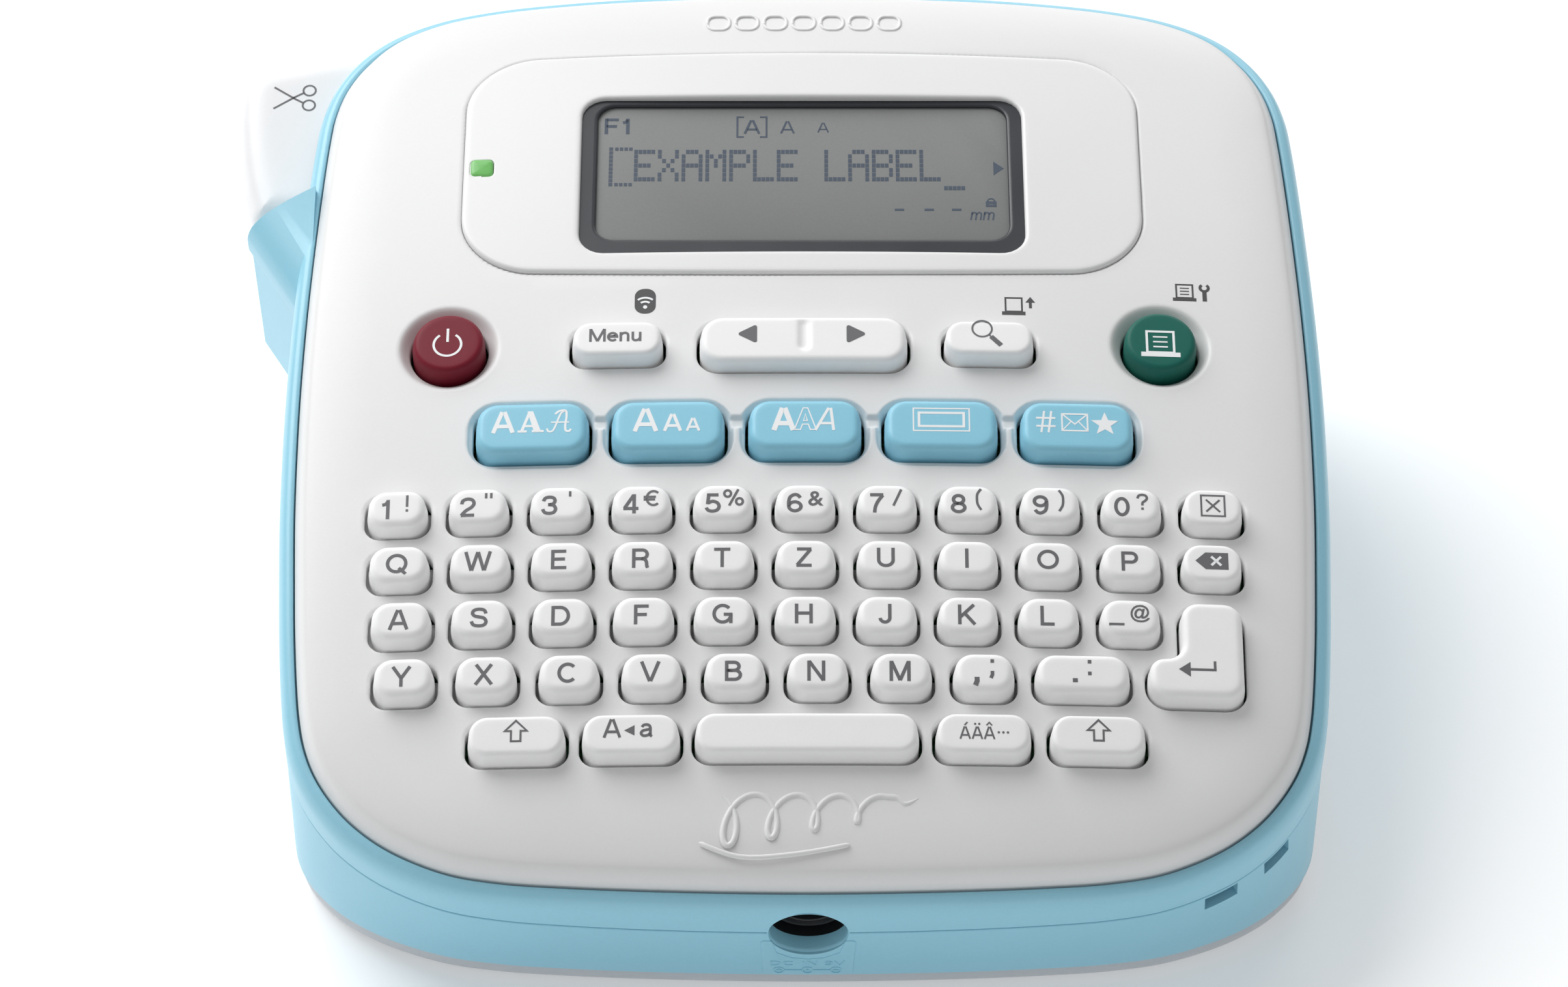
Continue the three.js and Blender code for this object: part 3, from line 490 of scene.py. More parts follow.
M["pipe"] = finish_of("light_pipe_green", rgb(120, 196, 108), 0.25, spread=0.06, grain=0.2, bump=0.02, coarse=4)
M["black"] = finish_of("black_plastic", rgb(30, 31, 33), 0.4, spread=0.1, grain=0.2, bump=0.05, coarse=8)
M["dark"] = finish_of("dark_grey_plastic", rgb(62, 64, 68), 0.5, spread=0.08, grain=0.25, bump=0.05, coarse=10)
M["foot"] = finish_of("foot_rubber", rgb(44, 45, 47), 0.8, spread=0.12, grain=0.35, bump=0.09, coarse=6, sheen=0.1)
M["rubber"] = finish_of("roller_rubber", rgb(36, 36, 37), 0.75, spread=0.12, grain=0.3, bump=0.08, coarse=5)
M["steel"] = finish_of("bright_steel", rgb(190, 192, 195), 0.28, 1.0, spread=0.05, grain=0.12, bump=0.03, coarse=8, streak=(1, 12, 1))
M["blade"] = finish_of("blade_steel", rgb(206, 208, 212), 0.18, 1.0, spread=0.04, grain=0.1, bump=0.02, coarse=6, streak=(14, 1, 1))
M["aluminium"] = finish_of("aluminium", rgb(196, 198, 200), 0.38, 1.0, spread=0.05, grain=0.14, bump=0.05, coarse=9, streak=(10, 1, 1))
M["brass"] = finish_of("brass", rgb(201, 163, 74), 0.33, 1.0, spread=0.06, grain=0.12, bump=0.03, coarse=5)
M["natural"] = finish_of("natural_plastic", rgb(226, 224, 214), 0.5, spread=0.04, grain=0.25, bump=0.04, coarse=8)
M["cassette"] = finish_of("cassette_cream", rgb(214, 210, 196), 0.5, spread=0.04, grain=0.25, bump=0.05, coarse=14)
M["ceramic"] = finish_of("print_head_ceramic", rgb(96, 72, 52), 0.35, spread=0.08, grain=0.15, bump=0.03, coarse=4)
M["tray"] = finish_of("tray_grey_plastic", rgb(150, 154, 158), 0.55, spread=0.05, grain=0.3, bump=0.06, coarse=12)


def board_marks(nt, bsdf, co):
    """Copper tracks under green mask: bands of a stepped wave over the base colour."""
    N, L = nt.nodes, nt.links
    wave = N.new("ShaderNodeTexBrick")
    wave.inputs["Scale"].default_value = 220.0
    wave.inputs["Mortar Size"].default_value = 0.05
    L.new(co.outputs["Object"], wave.inputs["Vector"])
    mix = N.new("ShaderNodeMix")
    mix.data_type = "RGBA"
    mix.inputs["A"].default_value = rgb(34, 92, 58)
    mix.inputs["B"].default_value = rgb(58, 128, 80)
    L.new(wave.outputs["Fac"], mix.inputs["Factor"])
    L.new(mix.outputs["Result"], bsdf.inputs["Base Color"])


M["board"] = finish_of("board_green", rgb(34, 92, 58), 0.4, spread=0.05, grain=0.3, bump=0.03, coarse=6, extra=board_marks)


def sleeve(nt, bsdf, co):
    """A battery's sleeve: two colours mixed by noise."""
    N, L = nt.nodes, nt.links
    sep = N.new("ShaderNodeSeparateXYZ")
    L.new(co.outputs["Object"], sep.inputs["Vector"])
    n = N.new("ShaderNodeTexNoise")
    n.inputs["Scale"].default_value = 60.0
    L.new(co.outputs["Object"], n.inputs["Vector"])
    mix = N.new("ShaderNodeMix")
    mix.data_type = "RGBA"
    mix.inputs["A"].default_value = rgb(52, 54, 58)
    mix.inputs["B"].default_value = rgb(74, 78, 86)
    L.new(n.outputs["Fac"], mix.inputs["Factor"])
    L.new(mix.outputs["Result"], bsdf.inputs["Base Color"])


M["sleeve"] = finish_of("battery_sleeve", rgb(60, 62, 66), 0.3, spread=0.05, grain=0.2, bump=0.02, coarse=12, extra=sleeve)

INNER = {"main_board": "board", "battery_tray": "tray", "battery_contact_left": "steel", "battery_contact_right": "steel", "drive_chassis": "steel",
         "tape_cassette": "cassette", "print_head": "ceramic", "head_heat_sink": "aluminium", "drive_motor": "steel", "motor_pinion": "brass",
         "idler_gear": "natural", "platen_roller": "rubber", "ribbon_drive_shaft": "natural", "cutter_blade": "blade",
         **{"battery_%d" % i: "sleeve" for i in range(1, 7)}}
for node, key in INNER.items():
    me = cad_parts[node].data
    me.materials.clear()
    me.materials.append(M[key])

# ------------------------------------------------------------------ keys: places and sizes
letters = lambda names, xs, front: [(n, x, front, 8.4, 6.2) for n, x in zip(names, xs)]
ROWS = {
    "keys_digits": (-4.7, letters("1234567890", [-56.5, -45.2, -33.92, -22.6, -11.32, 0, 11.3, 22.6, 33.92, 45.19], -5.93)),
    "keys_upper_letters": (-4.8, letters("QWERTZUIOP", [-55.97, -44.78, -33.6, -22.4, -11.19, 0.04, 11.28, 22.4, 33.56, 44.8], -14.75)),
    "keys_home_letters": (-5.1, letters("ASDFGHJKL_", [-55.44, -44.39, -33.24, -22.15, -11.08, 0, 11.14, 22.25, 33.34, 44.5], -23.46)),
    "keys_lower_letters": (-6.1, [*letters("YXCVBNM,", [-54.79, -43.54, -32.19, -20.88, -9.59, 1.68, 13.06, 24.31], -32.1), (".", 37.76, -32.05, 13.0, 6.2)]),
}
SINGLE = {
    "key_symbols": (56.44, -5.85, 8.4, 6.2), "key_backspace": (56.03, -14.62, 8.4, 6.2),
    "key_shift_left": (-39.17, -41.25, 13.3, 6.2), "key_caps": (-23.64, -41.25, 13.3, 6.2), "key_space": (0.2, -41.15, 30.4, 6.2),
    "key_accents": (24.12, -41.15, 13.0, 6.2), "key_shift_right": (39.66, -41.15, 13.0, 6.2),
    "key_font": (-38.08, 5.85, 15.8, 8.6), "key_text_size": (-19.1, 5.85, 15.8, 8.6), "key_text_style": (0, 5.9, 15.8, 8.6),
    "key_frame_style": (19.05, 5.95, 15.8, 8.6), "key_symbol_menu": (38.03, 5.95, 15.8, 8.6),
    "key_menu": (-26.4, 21.5, 12.8, 6.2), "key_preview": (26.0, 21.6, 12.6, 6.2),
}
ENTER = [(47.0, -32.3), (59.3, -32.3), (60.0, -31.2), (60.0, -18.6), (58.8, -17.5), (52.6, -17.5), (51.3, -18.7), (51.3, -26.0), (47.9, -26.0), (46.7, -27.3), (46.7, -31.4)]
ARROW = (-0.15, 20.45, 29.3, 8.2)
POWER, PRINT = (-50.3, 25.3, 5.15), (50.3, 25.6, 5.15)
GAP = 0.45  # between a key and its hole


def key_loop(x, front, w, d):
    r = 2.75 if d < 7 else (3.3 if w > 20 else 3.1)
    return rounded_rect(x, front + d / 2, w, d, r, 0.55 if w < 20 else 0.6)


ENTER_CORNERS = [(46.7, -32.3), (60.0, -32.3), (60.0, -17.5), (51.3, -17.5), (51.3, -26.0), (46.7, -26.0)]
enter_loop = ccw(resample(round_poly(ENTER_CORNERS, [3.0, 2.7, 2.7, 2.5, 2.0, 2.6], 10), 84))

loops = {}
for web, row in ROWS.values():
    for name, x, f, w, d in row:
        loops["row" + name] = key_loop(x, f, w, d)
for name, dims in SINGLE.items():
    loops[name] = key_loop(*dims)
loops["key_enter"] = enter_loop
loops["key_cursor"] = key_loop(*ARROW)
loops["key_power"] = circle(*POWER, 64)
loops["key_print"] = circle(*PRINT, 64)
BLUE = ("key_font", "key_text_size", "key_text_style", "key_frame_style", "key_symbol_menu")
ROUND = ("key_power", "key_print")


def offset(loop, g):
    return loop + normals2(loop) * g


# The holes sit close along the straight sides and leave more room at the corners.
def hole_of(k):
    if k in ROUND:
        return offset(loops[k], 0.42)
    if k == "key_enter":
        return offset(loops[k], 0.34)
    lo, hi = loops[k].min(0), loops[k].max(0)
    (w, d), c = hi - lo, (hi + lo) / 2
    r = (2.35 if w < 20 else 2.6) if d < 7 else (3.2 if w > 20 else 2.75)
    return rounded_rect(c[0], c[1] + 0.03, w + 0.9, d + 0.5, r)


hole_loops = {k: hole_of(k) for k in loops}

# ------------------------------------------------------------------ display panel outline
PX0, PX1, PV0, PV1, PR = -49.3, 48.6, 37.5, 80.1, 10.5


def panel_line(g, count=300):
    mid = (PV0 + PV1) / 2
    P = round_poly([(PX0 - g, PV0 - g), (PX1 + g, PV0 - g), (PX1 + g, PV1 + g), (PX0 - g, PV1 + g)], PR + g, 24)
    P = ccw(resample(P, count))
    P[:, 1] = mid + (P[:, 1] - mid) * (1 - 0.052 * (P[:, 0] / 48) ** 2)
    return P


# ------------------------------------------------------------------ top cover
OUTER = ring_xy(0.0)


BLUE_SPAN = sorted((float(loops[k][:, 0].min()), float(loops[k][:, 0].max()), float(loops[k][:, 1].max())) for k in BLUE)
NECKS = [((a[1] + b[0]) / 2, a[2] - 2.5) for a, b in zip(BLUE_SPAN, BLUE_SPAN[1:])]


def cover_top(P):
    """Level of the cover's top at points of the deck."""
    P = np.asarray(P, float)
    h = surf(P[:, 0], P[:, 1])
    d = -near_sdf(P, OUTER, 1.0, -99.0)
    d = np.maximum(d, 0)
    h = h - 1.25 * np.clip(1 - d / 9.0, 0, 1) ** 2.2 - 2.15 * (1 - np.sqrt(np.maximum(1 - np.clip(1 - d / 2.2, 0, 1) ** 2, 0)))
    trough = np.zeros(len(P))
    for k in BLUE:
        trough = np.maximum(trough, 1 - smooth01(0.8, 1.35, near_sdf(P, loops[k], 2.6)))
    for x, v in NECKS:
        trough = np.maximum(trough, (1 - smooth01(0.55, 1.15, np.abs(P[:, 1] - v))) * (1 - smooth01(2.2, 2.6, np.abs(P[:, 0] - x))))
    h -= 0.6 * trough
    for k in ROUND:
        q = np.maximum(near_sdf(P, hole_loops[k], 2.6), 0)
        h -= 1.7 * (1 - smooth01(-0.25, 1.75, q)) + roundover(q, 0.2)
    for k, l in hole_loops.items():
        if k not in ROUND:
            h -= roundover(np.maximum(near_sdf(P, l, 0.8), 0), 0.5)
    h -= roundover(np.maximum(near_sdf(P, PANEL_HOLE, 0.9), 0), 0.42) * 0.8
    return h


PANEL_HOLE = panel_line(0.06)


def cover_bottom(P):
    d = np.maximum(-near_sdf(P, OUTER, 1.0, -99.0), 0)
    return cover_top(P) - 1.7 - 0.3 * np.clip(d / 2, 0, 1)


def build_cover():
    pts = []
    for o in (0.2, 0.5, 0.9, 1.4, 1.9, 2.5, 3.3, 4.5, 6.2, 8.4):
        pts.append(ring_xy(-o) if o < 4 else ring_xy(-o)[::2])
    for k, l in hole_loops.items():
        ring = [0.07, 0.2, 0.38, 0.62] if k not in ROUND else [0.1, 0.3, 0.55, 0.85, 1.15, 1.45, 1.75, 2.1]
        for g in ring:
            pts.append((k, offset(l, g)))
        if k in BLUE:
            for g in (1.0, 1.2, 1.4, 1.65, 1.95):
                pts.append((k, offset(l, g - GAP)))
    for g in (0.06, 0.18, 0.38, 0.7):
        pts.append(panel_line(0.06 + g))
    kept = []
    names = list(hole_loops)
    for p in pts:
        own, P = p if isinstance(p, tuple) else (None, p)
        ok = -near_sdf(P, OUTER, 0.5, -99) > 0.05 if own is None else np.ones(len(P), bool)
        mine = near_sdf(P, hole_loops[own], 4) if own else np.full(len(P), 0.5)
        for k in names:
            if k != own:
                s = near_sdf(P, hole_loops[k], 2.0)
                ok &= s > (np.minimum(mine, 0.9) * 0.98 + 0.03 if own else 0.5)
        ok &= near_sdf(P, PANEL_HOLE, 1.0) > (0.03 if own is None else 0.2)
        kept.append(P[ok])
    G = grid((-71, -58), (71, 94), 2.1)
    ok = -sdf(G, OUTER) > 9.3
    for k in names:
        ok &= near_sdf(G, hole_loops[k], 3.0) > (2.9 if k in BLUE + ROUND else 1.15)
    ok &= near_sdf(G, PANEL_HOLE, 2.5) > 1.6
    kept.append(G[ok])
    far = np.concatenate(kept)
    for x, v in NECKS:
        Q = grid((x - 3, v - 1.5), (x + 3, v + 1.5), 0.24)
        far = far[~((np.abs(far[:, 0] - x) < 3) & (np.abs(far[:, 1] - v) < 1.5))]
        for k in BLUE:
            Q = Q[near_sdf(Q, hole_loops[k], 2.0) > 0.16]
        far = np.concatenate([far, Q])
    kept = [far]
    shape = Shape()
    plate(shape, OUTER, [*hole_loops.values(), PANEL_HOLE], np.concatenate(kept), cover_top, cover_bottom)
    return shape.object("top_cover_shell", M["cover"], "housing", 50, ["top_cover"], "white_shell", flip_check=False)


build_cover()

# ------------------------------------------------------------------ blue middle frame, with the guard over the tape outlet
A2 = np.array([0.526, -0.85]); A2 /= np.linalg.norm(A2)
B2 = np.array([A2[1], -A2[0]])
G0 = np.array([-72.0, 57.1])


def guard(shape, profile, a0, a1, cap_round=0.0):
    """A solid with its section in (distance along B, n), run along A."""
    P = np.asarray(profile, float)
    rings = []
    stations = [a0, a1]
    for a in stations:
        xy = G0 + B2 * P[:, :1] + A2 * a
        rings.append(deck_to_world(cols(xy[:, 0], xy[:, 1], P[:, 1])))
    return shape.band(rings, cap_first=True, cap_last=True)


def clip(ob, point, normal):
    """Cuts away what lies on the normal's side of a plane given in the deck frame, and closes the cut."""
    p0 = deck_to_world(np.array(point, float)); p1 = deck_to_world(np.array(point, float) + np.array(normal, float))
    bm = bmesh.new(); bm.from_mesh(ob.data)
    out = bmesh.ops.bisect_plane(bm, geom=bm.verts[:] + bm.edges[:] + bm.faces[:], plane_co=Vector(p0), plane_no=Vector(p1 - p0), clear_outer=True)
    edges = [e for e in out["geom_cut"] if isinstance(e, bmesh.types.BMEdge)]
    bmesh.ops.contextual_create(bm, geom=edges)
    bmesh.ops.recalc_face_normals(bm, faces=bm.faces)
    bm.to_mesh(ob.data); bm.free()
    return ob


def shape_of(ob):
    me = ob.data
    s = Shape()
    s.add(np.array([tuple(v.co) for v in me.vertices]), [tuple(p.vertices) for p in me.polygons])
    bpy.data.objects.remove(ob)
    return s


et = edge_top
frame_rings = [frame_ring(o, et - d) for o, d in (
    (0.3, 1.6), (0.3, 0.62), (0.34, 0.42), (0.46, 0.3), (0.7, 0.24), (1.0, 0.3), (1.32, 0.45), (1.62, 0.7), (1.88, 1.03), (2.1, 1.45), (2.28, 1.95), (2.4, 2.5), (2.47, 3.1), (2.5, 3.9), (2.51, 5.5))]
frame_rings += [frame_ring(2.53, (et - 5.5) * 0.5 + seam_at * 0.5), frame_ring(2.55, seam_at + 0.5), frame_ring(2.5, seam_at + 0.16), frame_ring(2.38, seam_at + 0.03), frame_ring(2.2, seam_at),
                frame_ring(0.5, seam_at), frame_ring(0.5, et - 3.9), frame_ring(-4.0, et - 3.9), frame_ring(-4.0, et - 2.1), frame_ring(0.3, et - 2.1)]
NOSE = catmull([(-6, -8.3), (0, -8.0), (4, -8.15), (6.5, -8.6), (8.3, -9.3), (9.7, -10.4), (10.45, -12.0), (10.6, -13.6), (10.58, -15.3)], False, 5)
NOSE = np.concatenate([NOSE, [(10.5, -15.72), (10.3, -15.8), (-6, -15.8)]])
hood = temp(guard(Shape(), NOSE, 0, 26))
clip(hood, (-71.0, 0, 0), (1, 0, 0))
ob = Shape().band(frame_rings, wrap=True).object("middle_frame_shell", M["blue"], "housing", 32, ["middle_frame"], "blue_shell")
ob = boolean(ob, shape_of(hood), "UNION")


def rod(shape, centre, axis, r, a0, a1, seg=48, bore=None, ends=(0.0, 0.0)):
    """A rod in the deck frame along x, v or n, with rounded ends."""
    c = np.array(centre, float)
    k = "xvn".index(axis)
    u, w = np.eye(3)[(k + 1) % 3], np.eye(3)[(k + 2) % 3]
    e = np.eye(3)[k]
    t = np.arange(seg) / seg * 2 * math.pi
    rings = []
    prof = []
    for e_r, a, s in ((ends[0], a0, 1), (ends[1], a1, -1)):
        arc = [(r - e_r + e_r * math.sin(q), a + s * (e_r - e_r * math.cos(q))) for q in np.linspace(0, math.pi / 2, 5)] if e_r else [(r, a)]
        prof += arc if s > 0 else arc[::-1]
    for rr_, a in prof:
        rings.append(c + e * a + rr_ * (np.cos(t)[:, None] * u + np.sin(t)[:, None] * w))
    return shape.band([deck_to_world(q) for q in rings], cap_first=True, cap_last=True)


JX, JN = 0.4, -16.0
plug = rod(Shape(), (JX, 0, JN), "v", 5.5, -70, -49.5)
ob = boolean(ob, plug)
dress(ob, M["blue"], "housing", 32)

# ------------------------------------------------------------------ blue lower case
lower_rings = [lower_ring(1.2), lower_ring(2.2, 0.0), lower_ring(2.36, 0.05), lower_ring(2.45, 0.16), lower_ring(2.48, 0.42), lower_down(2.48, BASE_TOP + 0.8), lower_down(2.38, BASE_TOP + 0.42), lower_down(2.2, BASE_TOP + 0.3),
               lower_down(-4.6, BASE_TOP + 0.3), lower_down(-4.6, BASE_TOP + 2.3), lower_down(0.15, BASE_TOP + 2.3), lower_ring(0.15)]
# A few rings between the top and the bottom edge carry the wall.
top_r, low_r = lower_rings[4], lower_rings[5]
walls = [top_r * (1 - t) + low_r * t for t in (0.25, 0.5, 0.75)]
lower_rings = lower_rings[:5] + walls + lower_rings[5:]
ob = Shape().band(lower_rings, wrap=True).object("lower_case_shell", M["blue"], "housing", 32, ["lower_case"], "blue_shell")
chute = temp(guard(Shape(), [(-6, -42), (8.2, -42), (10.2, -39.6), (10.2, SEAM_N - 0.5), (10.05, SEAM_N - 0.32), (9.8, SEAM_N - 0.3), (-6, SEAM_N - 0.3)], 0.3, 26))
clip(chute, (-71.6, 0, 0), (1, 0, 0))
ob = boolean(ob, shape_of(chute), "UNION")
inner = temp(guard(Shape(), [(-8, -40.4), (7.6, -40.4), (8.4, -39), (8.4, -15), (-8, -15)], 1.9, 22))
clip(inner, (-70.2, 0, 0), (1, 0, 0))
clip(inner, (0, 41.5, 0), (0, -1, 0))
ob = boolean(ob, shape_of(inner))


def block(x0, x1, v0, v1, n0, n1):
    return prism(Shape(), [(x0, v0), (x1, v0), (x1, v1), (x0, v1)], n0, n1)


ob = boolean(ob, block(-96, -57.6, 57.7, 93.4, -38.5, -14))
ob = boolean(ob, rod(Shape(), (JX, 0, JN), "v", 5.5, -70, -49.5))
for x, v, turn in ((56.9, -53.9, 0.52), (64.7, -47.6, 0.83)):
    L = rounded_rect(0, 0, 5.2, 6.0, 0.2)
    L = np.stack([x + L[:, 0] * math.cos(turn) - L[:, 1] * math.sin(turn), v + L[:, 0] * math.sin(turn) + L[:, 1] * math.cos(turn)], -1)
    ob = boolean(ob, prism(Shape(), L, SEAM_N - 3.4, SEAM_N - 0.7))
dress(ob, M["blue"], "housing", 32)

# ------------------------------------------------------------------ back cover and feet
def centre_at(z):
    return np.array([SIDE, 0, z]) / 1000.0


def scaled(ring, k):
    q = ring.copy()
    q[:, 0] = SIDE / 1000 + (q[:, 0] - SIDE / 1000) * k
    q[:, 1] *= k
    return q


bt = BASE_TOP
base_rings = [scaled(lower_down(1.0, BASE_BOTTOM), 0.6), scaled(lower_down(1.0, BASE_BOTTOM), 0.97), lower_down(1.1, BASE_BOTTOM), lower_down(1.5, BASE_BOTTOM + 0.12), lower_down(1.75, BASE_BOTTOM + 0.4), lower_down(1.88, BASE_BOTTOM + 0.9),
              lower_down(1.84, bt - 0.35), lower_down(1.7, bt - 0.08), lower_down(1.4, bt), lower_down(-5.0, bt), lower_down(-5.0, bt + 2.8), lower_down(-6.4, bt + 2.8), lower_down(-6.4, BASE_BOTTOM + 1.8)]
Shape().band(base_rings, cap_first=centre_at(BASE_BOTTOM), cap_last=centre_at(BASE_BOTTOM + 1.8)).object("back_cover_plate", M["base"], "back_cover", 32, ["back_cover"], "pale_grey_shell")
feet = Shape()
for x, y in ((-48, -40), (58, -40), (-48, 58), (58, 58)):
    t = np.arange(48) / 48 * 2 * math.pi
    ring = lambda r, z: np.stack([x + r * np.cos(t), y + r * np.sin(t), np.full(48, z)], -1) / 1000
    feet.band([ring(3.3, 0.08), ring(3.55, 0.0), ring(3.95, 0.02), ring(4.14, 0.1), ring(4.2, 0.22), ring(4.2, 0.7)], cap_first=np.array([x, y, 0.08]) / 1000, cap_last=np.array([x, y, 0.7]) / 1000)
feet.object("rubber_feet", M["foot"], "back_cover", 50, ["foot_front_left", "foot_front_right", "foot_rear_left", "foot_rear_right"], "foot_rubber")

# ------------------------------------------------------------------ display panel
WX0, WX1, WV0, WV1, WR = -32.3, 31.7, 41.5, 71.0, 3.5
win_loop = rounded_rect((WX0 + WX1) / 2, (WV0 + WV1) / 2, WX1 - WX0, WV1 - WV0, WR, 0.9)
led_loop = rounded_rect(-46.62, 57.7, 3.45, 3.2, 0.75, 0.3)
panel_outer = panel_line(0.0)


def panel_top(P):
    h = surf(P[:, 0], P[:, 1]) + 0.5
    d = np.maximum(-sdf(P, panel_outer), 0)
    h -= roundover(d, 0.55)
    h -= roundover(np.maximum(near_sdf(P, win_loop, 1.2), 0), 0.55)
    h -= roundover(np.maximum(near_sdf(P, led_loop, 0.5), 0), 0.12)
    return h


pp = [offset(panel_outer, -g) for g in (0.05, 0.16, 0.34, 0.6, 1.1)]
pp += [offset(win_loop, g) for g in (0.06, 0.17, 0.34, 0.58, 1.0)]
pp += [offset(led_loop, g) for g in (0.06, 0.13, 0.3)]
G = grid((PX0, PV0), (PX1, PV1), 2.4)
G = G[(-sdf(G, panel_outer) > 1.9) & (sdf(G, win_loop) > 1.8) & (sdf(G, led_loop) > 1.0)]
Sp = Shape()
plate(Sp, panel_outer, [win_loop, led_loop], np.concatenate(pp + [G]), panel_top, lambda P: surf(P[:, 0], P[:, 1]) - 1.1)
Sp.object("display_panel", M["panel"], "housing", 50, ["display_bezel"], "white_shell", flip_check=False)
# Light pipe, with a soft domed face
pipe = Shape()
rings = [deck_to_world(cols(*(offset(led_loop, -g).T), surf(-46.6, 57.7) + h)) for g, h in ((0.12, -3), (0.12, 0.36), (0.17, 0.5), (0.32, 0.6), (0.6, 0.65))]
pipe.band(rings, cap_first=True, cap_last=deck_to_world((-46.62, 57.7, surf(-46.6, 57.7) + 0.67)))
pipe.object("light_pipe_lens", M["pipe"], "housing", 40, ["status_light_pipe"], "light_green")

# The window's plane
CX, CV = -0.3, 56.25
SL = (CV - 7.7) / 435.0
QN = math.sqrt(1 + SL * SL)
CN = float(surf(CX, CV))


def on_window(P, h):
    """Points given as deck x, v lying at height h over the window's plane."""
    P = np.asarray(P, float)
    y = (P[:, 1] - CV - h * SL / QN) * QN
    return deck_to_world(cols(P[:, 0], CV + y / QN + h * SL / QN, CN - y * SL / QN + h / QN))


lcd_open = rounded_rect(-0.25, 57.2, 59.5, 25.6, 2.7, 0.6)
mask_outer = rounded_rect((WX0 + WX1) / 2, (WV0 + WV1) / 2, WX1 - WX0 + 0.4, WV1 - WV0 + 0.4, WR, 0.9)
V2, F2, idx = fill(mask_outer, [lcd_open], np.concatenate([offset(lcd_open, g) for g in (0.1, 0.28, 0.6)]))
dm = np.maximum(near_sdf(V2, lcd_open, 1.2), 0)
hm = -0.95 - roundover(dm, 0.3)
k2 = len(V2)
top2 = np.concatenate([on_window(V2[i:i + 1], float(hm[i])) for i in range(k2)])
bot2 = on_window(V2, -2.0)
faces = F2.tolist() + [[k2 + f[2], k2 + f[1], k2 + f[0]] for f in F2.tolist()]
for i, loop in enumerate(idx):
    for q in range(len(loop)):
        a, b = loop[q], loop[(q + 1) % len(loop)]
        faces.append([a, k2 + a, k2 + b, b] if i == 0 else [b, k2 + b, k2 + a, a])
Shape().add(np.concatenate([top2, bot2]), faces).object("display_mask", M["mask"], "housing", 50, ["display_window"], "window_black", flip_check=False)
lcd = Shape()
LCD_H = -1.5
lcd_edge = offset(lcd_open, 0.25)
lcd.band([on_window(lcd_edge, -3.4), on_window(lcd_edge, LCD_H - 0.06), on_window(offset(lcd_open, 0.1), LCD_H)], cap_first=True, cap_last=True)
lcd.object("lcd_glass", M["lcd"], "housing", 40, ["lcd_panel"], "lcd_grey")

# ------------------------------------------------------------------ marks: strokes, glyphs and filled outlines as thin raised meshes
class Marks:
    """Flat outlines gathered on one surface, each a thin prism that stands a few hundredths of a millimetre proud."""

    def __init__(self, place, low=-0.06, high=0.03):
        self.place, self.low, self.high, self.s = place, low, high, Shape()

    def polygon(self, loop):
        loop = ccw(loop)
        self.s.band([self.place(loop, self.low), self.place(loop, self.high)], cap_first=True, cap_last=True)

    def tris(self, V, F):
        """A flat filled area with its own triangles."""
        V = np.asarray(V, float)
        if not len(V):
            return
        k = len(V)
        top, bot = self.place(V, self.high), self.place(V, self.low)
        F = [tuple(f) for f in F]
        edges = {}
        for f in F:
            for a, b in zip(f, f[1:] + f[:1]):
                edges[(a, b)] = 1
        rim = [(a, b) for a, b in edges if (b, a) not in edges]
        faces = [list(f) for f in F] + [[k + i for i in f[::-1]] for f in F] + [[b, a, k + a, k + b] for a, b in rim]
        self.s.add(np.concatenate([top, bot]), faces)

    def stroke(self, pts, w, closed=False):
        P = np.asarray(pts, float)
        P = P[np.r_[True, np.linalg.norm(np.diff(P, axis=0), axis=1) > 1e-6]]
        n = len(P)
        if closed:
            P = ccw(P)
            nr = normals2(P)
            a, b = P + nr * w / 2, P - nr * w / 2
            self.tris(np.concatenate([a, b]), [(i, (i + 1) % n, n + (i + 1) % n, n + i) for i in range(n)])
            return
        d = np.diff(P, axis=0)
        d /= np.linalg.norm(d, axis=1, keepdims=True)
        nr = np.zeros_like(P)
        e = np.stack([-d[:, 1], d[:, 0]], -1)
        nr[0], nr[-1] = e[0], e[-1]
        for i in range(1, n - 1):
            s = e[i - 1] + e[i]
            nr[i] = s / max(float(s @ s) / 2, 0.35)
        self.polygon(np.concatenate([P + nr * w / 2, (P - nr * w / 2)[::-1]]))

    def arc(self, cx, cv, r, a0, a1, w, n=28):
        t = np.radians(np.linspace(a0, a1, n))
        self.stroke(np.stack([cx + r * np.cos(t), cv + r * np.sin(t)], -1), w)

    def disc(self, cx, cv, r, n=28):
        self.polygon(circle(cx, cv, r, n))

    def box(self, x0, x1, v0, v1, w):
        self.stroke([(x0 + w / 2, v0 + w / 2), (x1 - w / 2, v0 + w / 2), (x1 - w / 2, v1 - w / 2), (x0 + w / 2, v1 - w / 2)], w, True)

    def text(self, string, cx, cv, height, bold=0.0, shear=0.0, stretch=1.0, anchor="centre", spacing=1.0, cap="H"):
        V, F, cap_h = glyphs(string, bold, shear, spacing, cap)
        k = height / cap_h
        V = V * k
        V[:, 0] *= stretch
        lo, hi = V.min(0), V.max(0)
        if anchor == "centre":
            V[:, 0] += cx - (lo[0] + hi[0]) / 2
        elif anchor == "left":
            V[:, 0] += cx - lo[0]
        else:
            V[:, 0] += cx - hi[0]
        V[:, 1] += cv  # cv is the baseline
        self.tris(V, F)

    def object(self, name, material, body, slot=None):
        return self.s.object(name, material, body, 30, (), slot, flip_check=True)


_glyph = {}


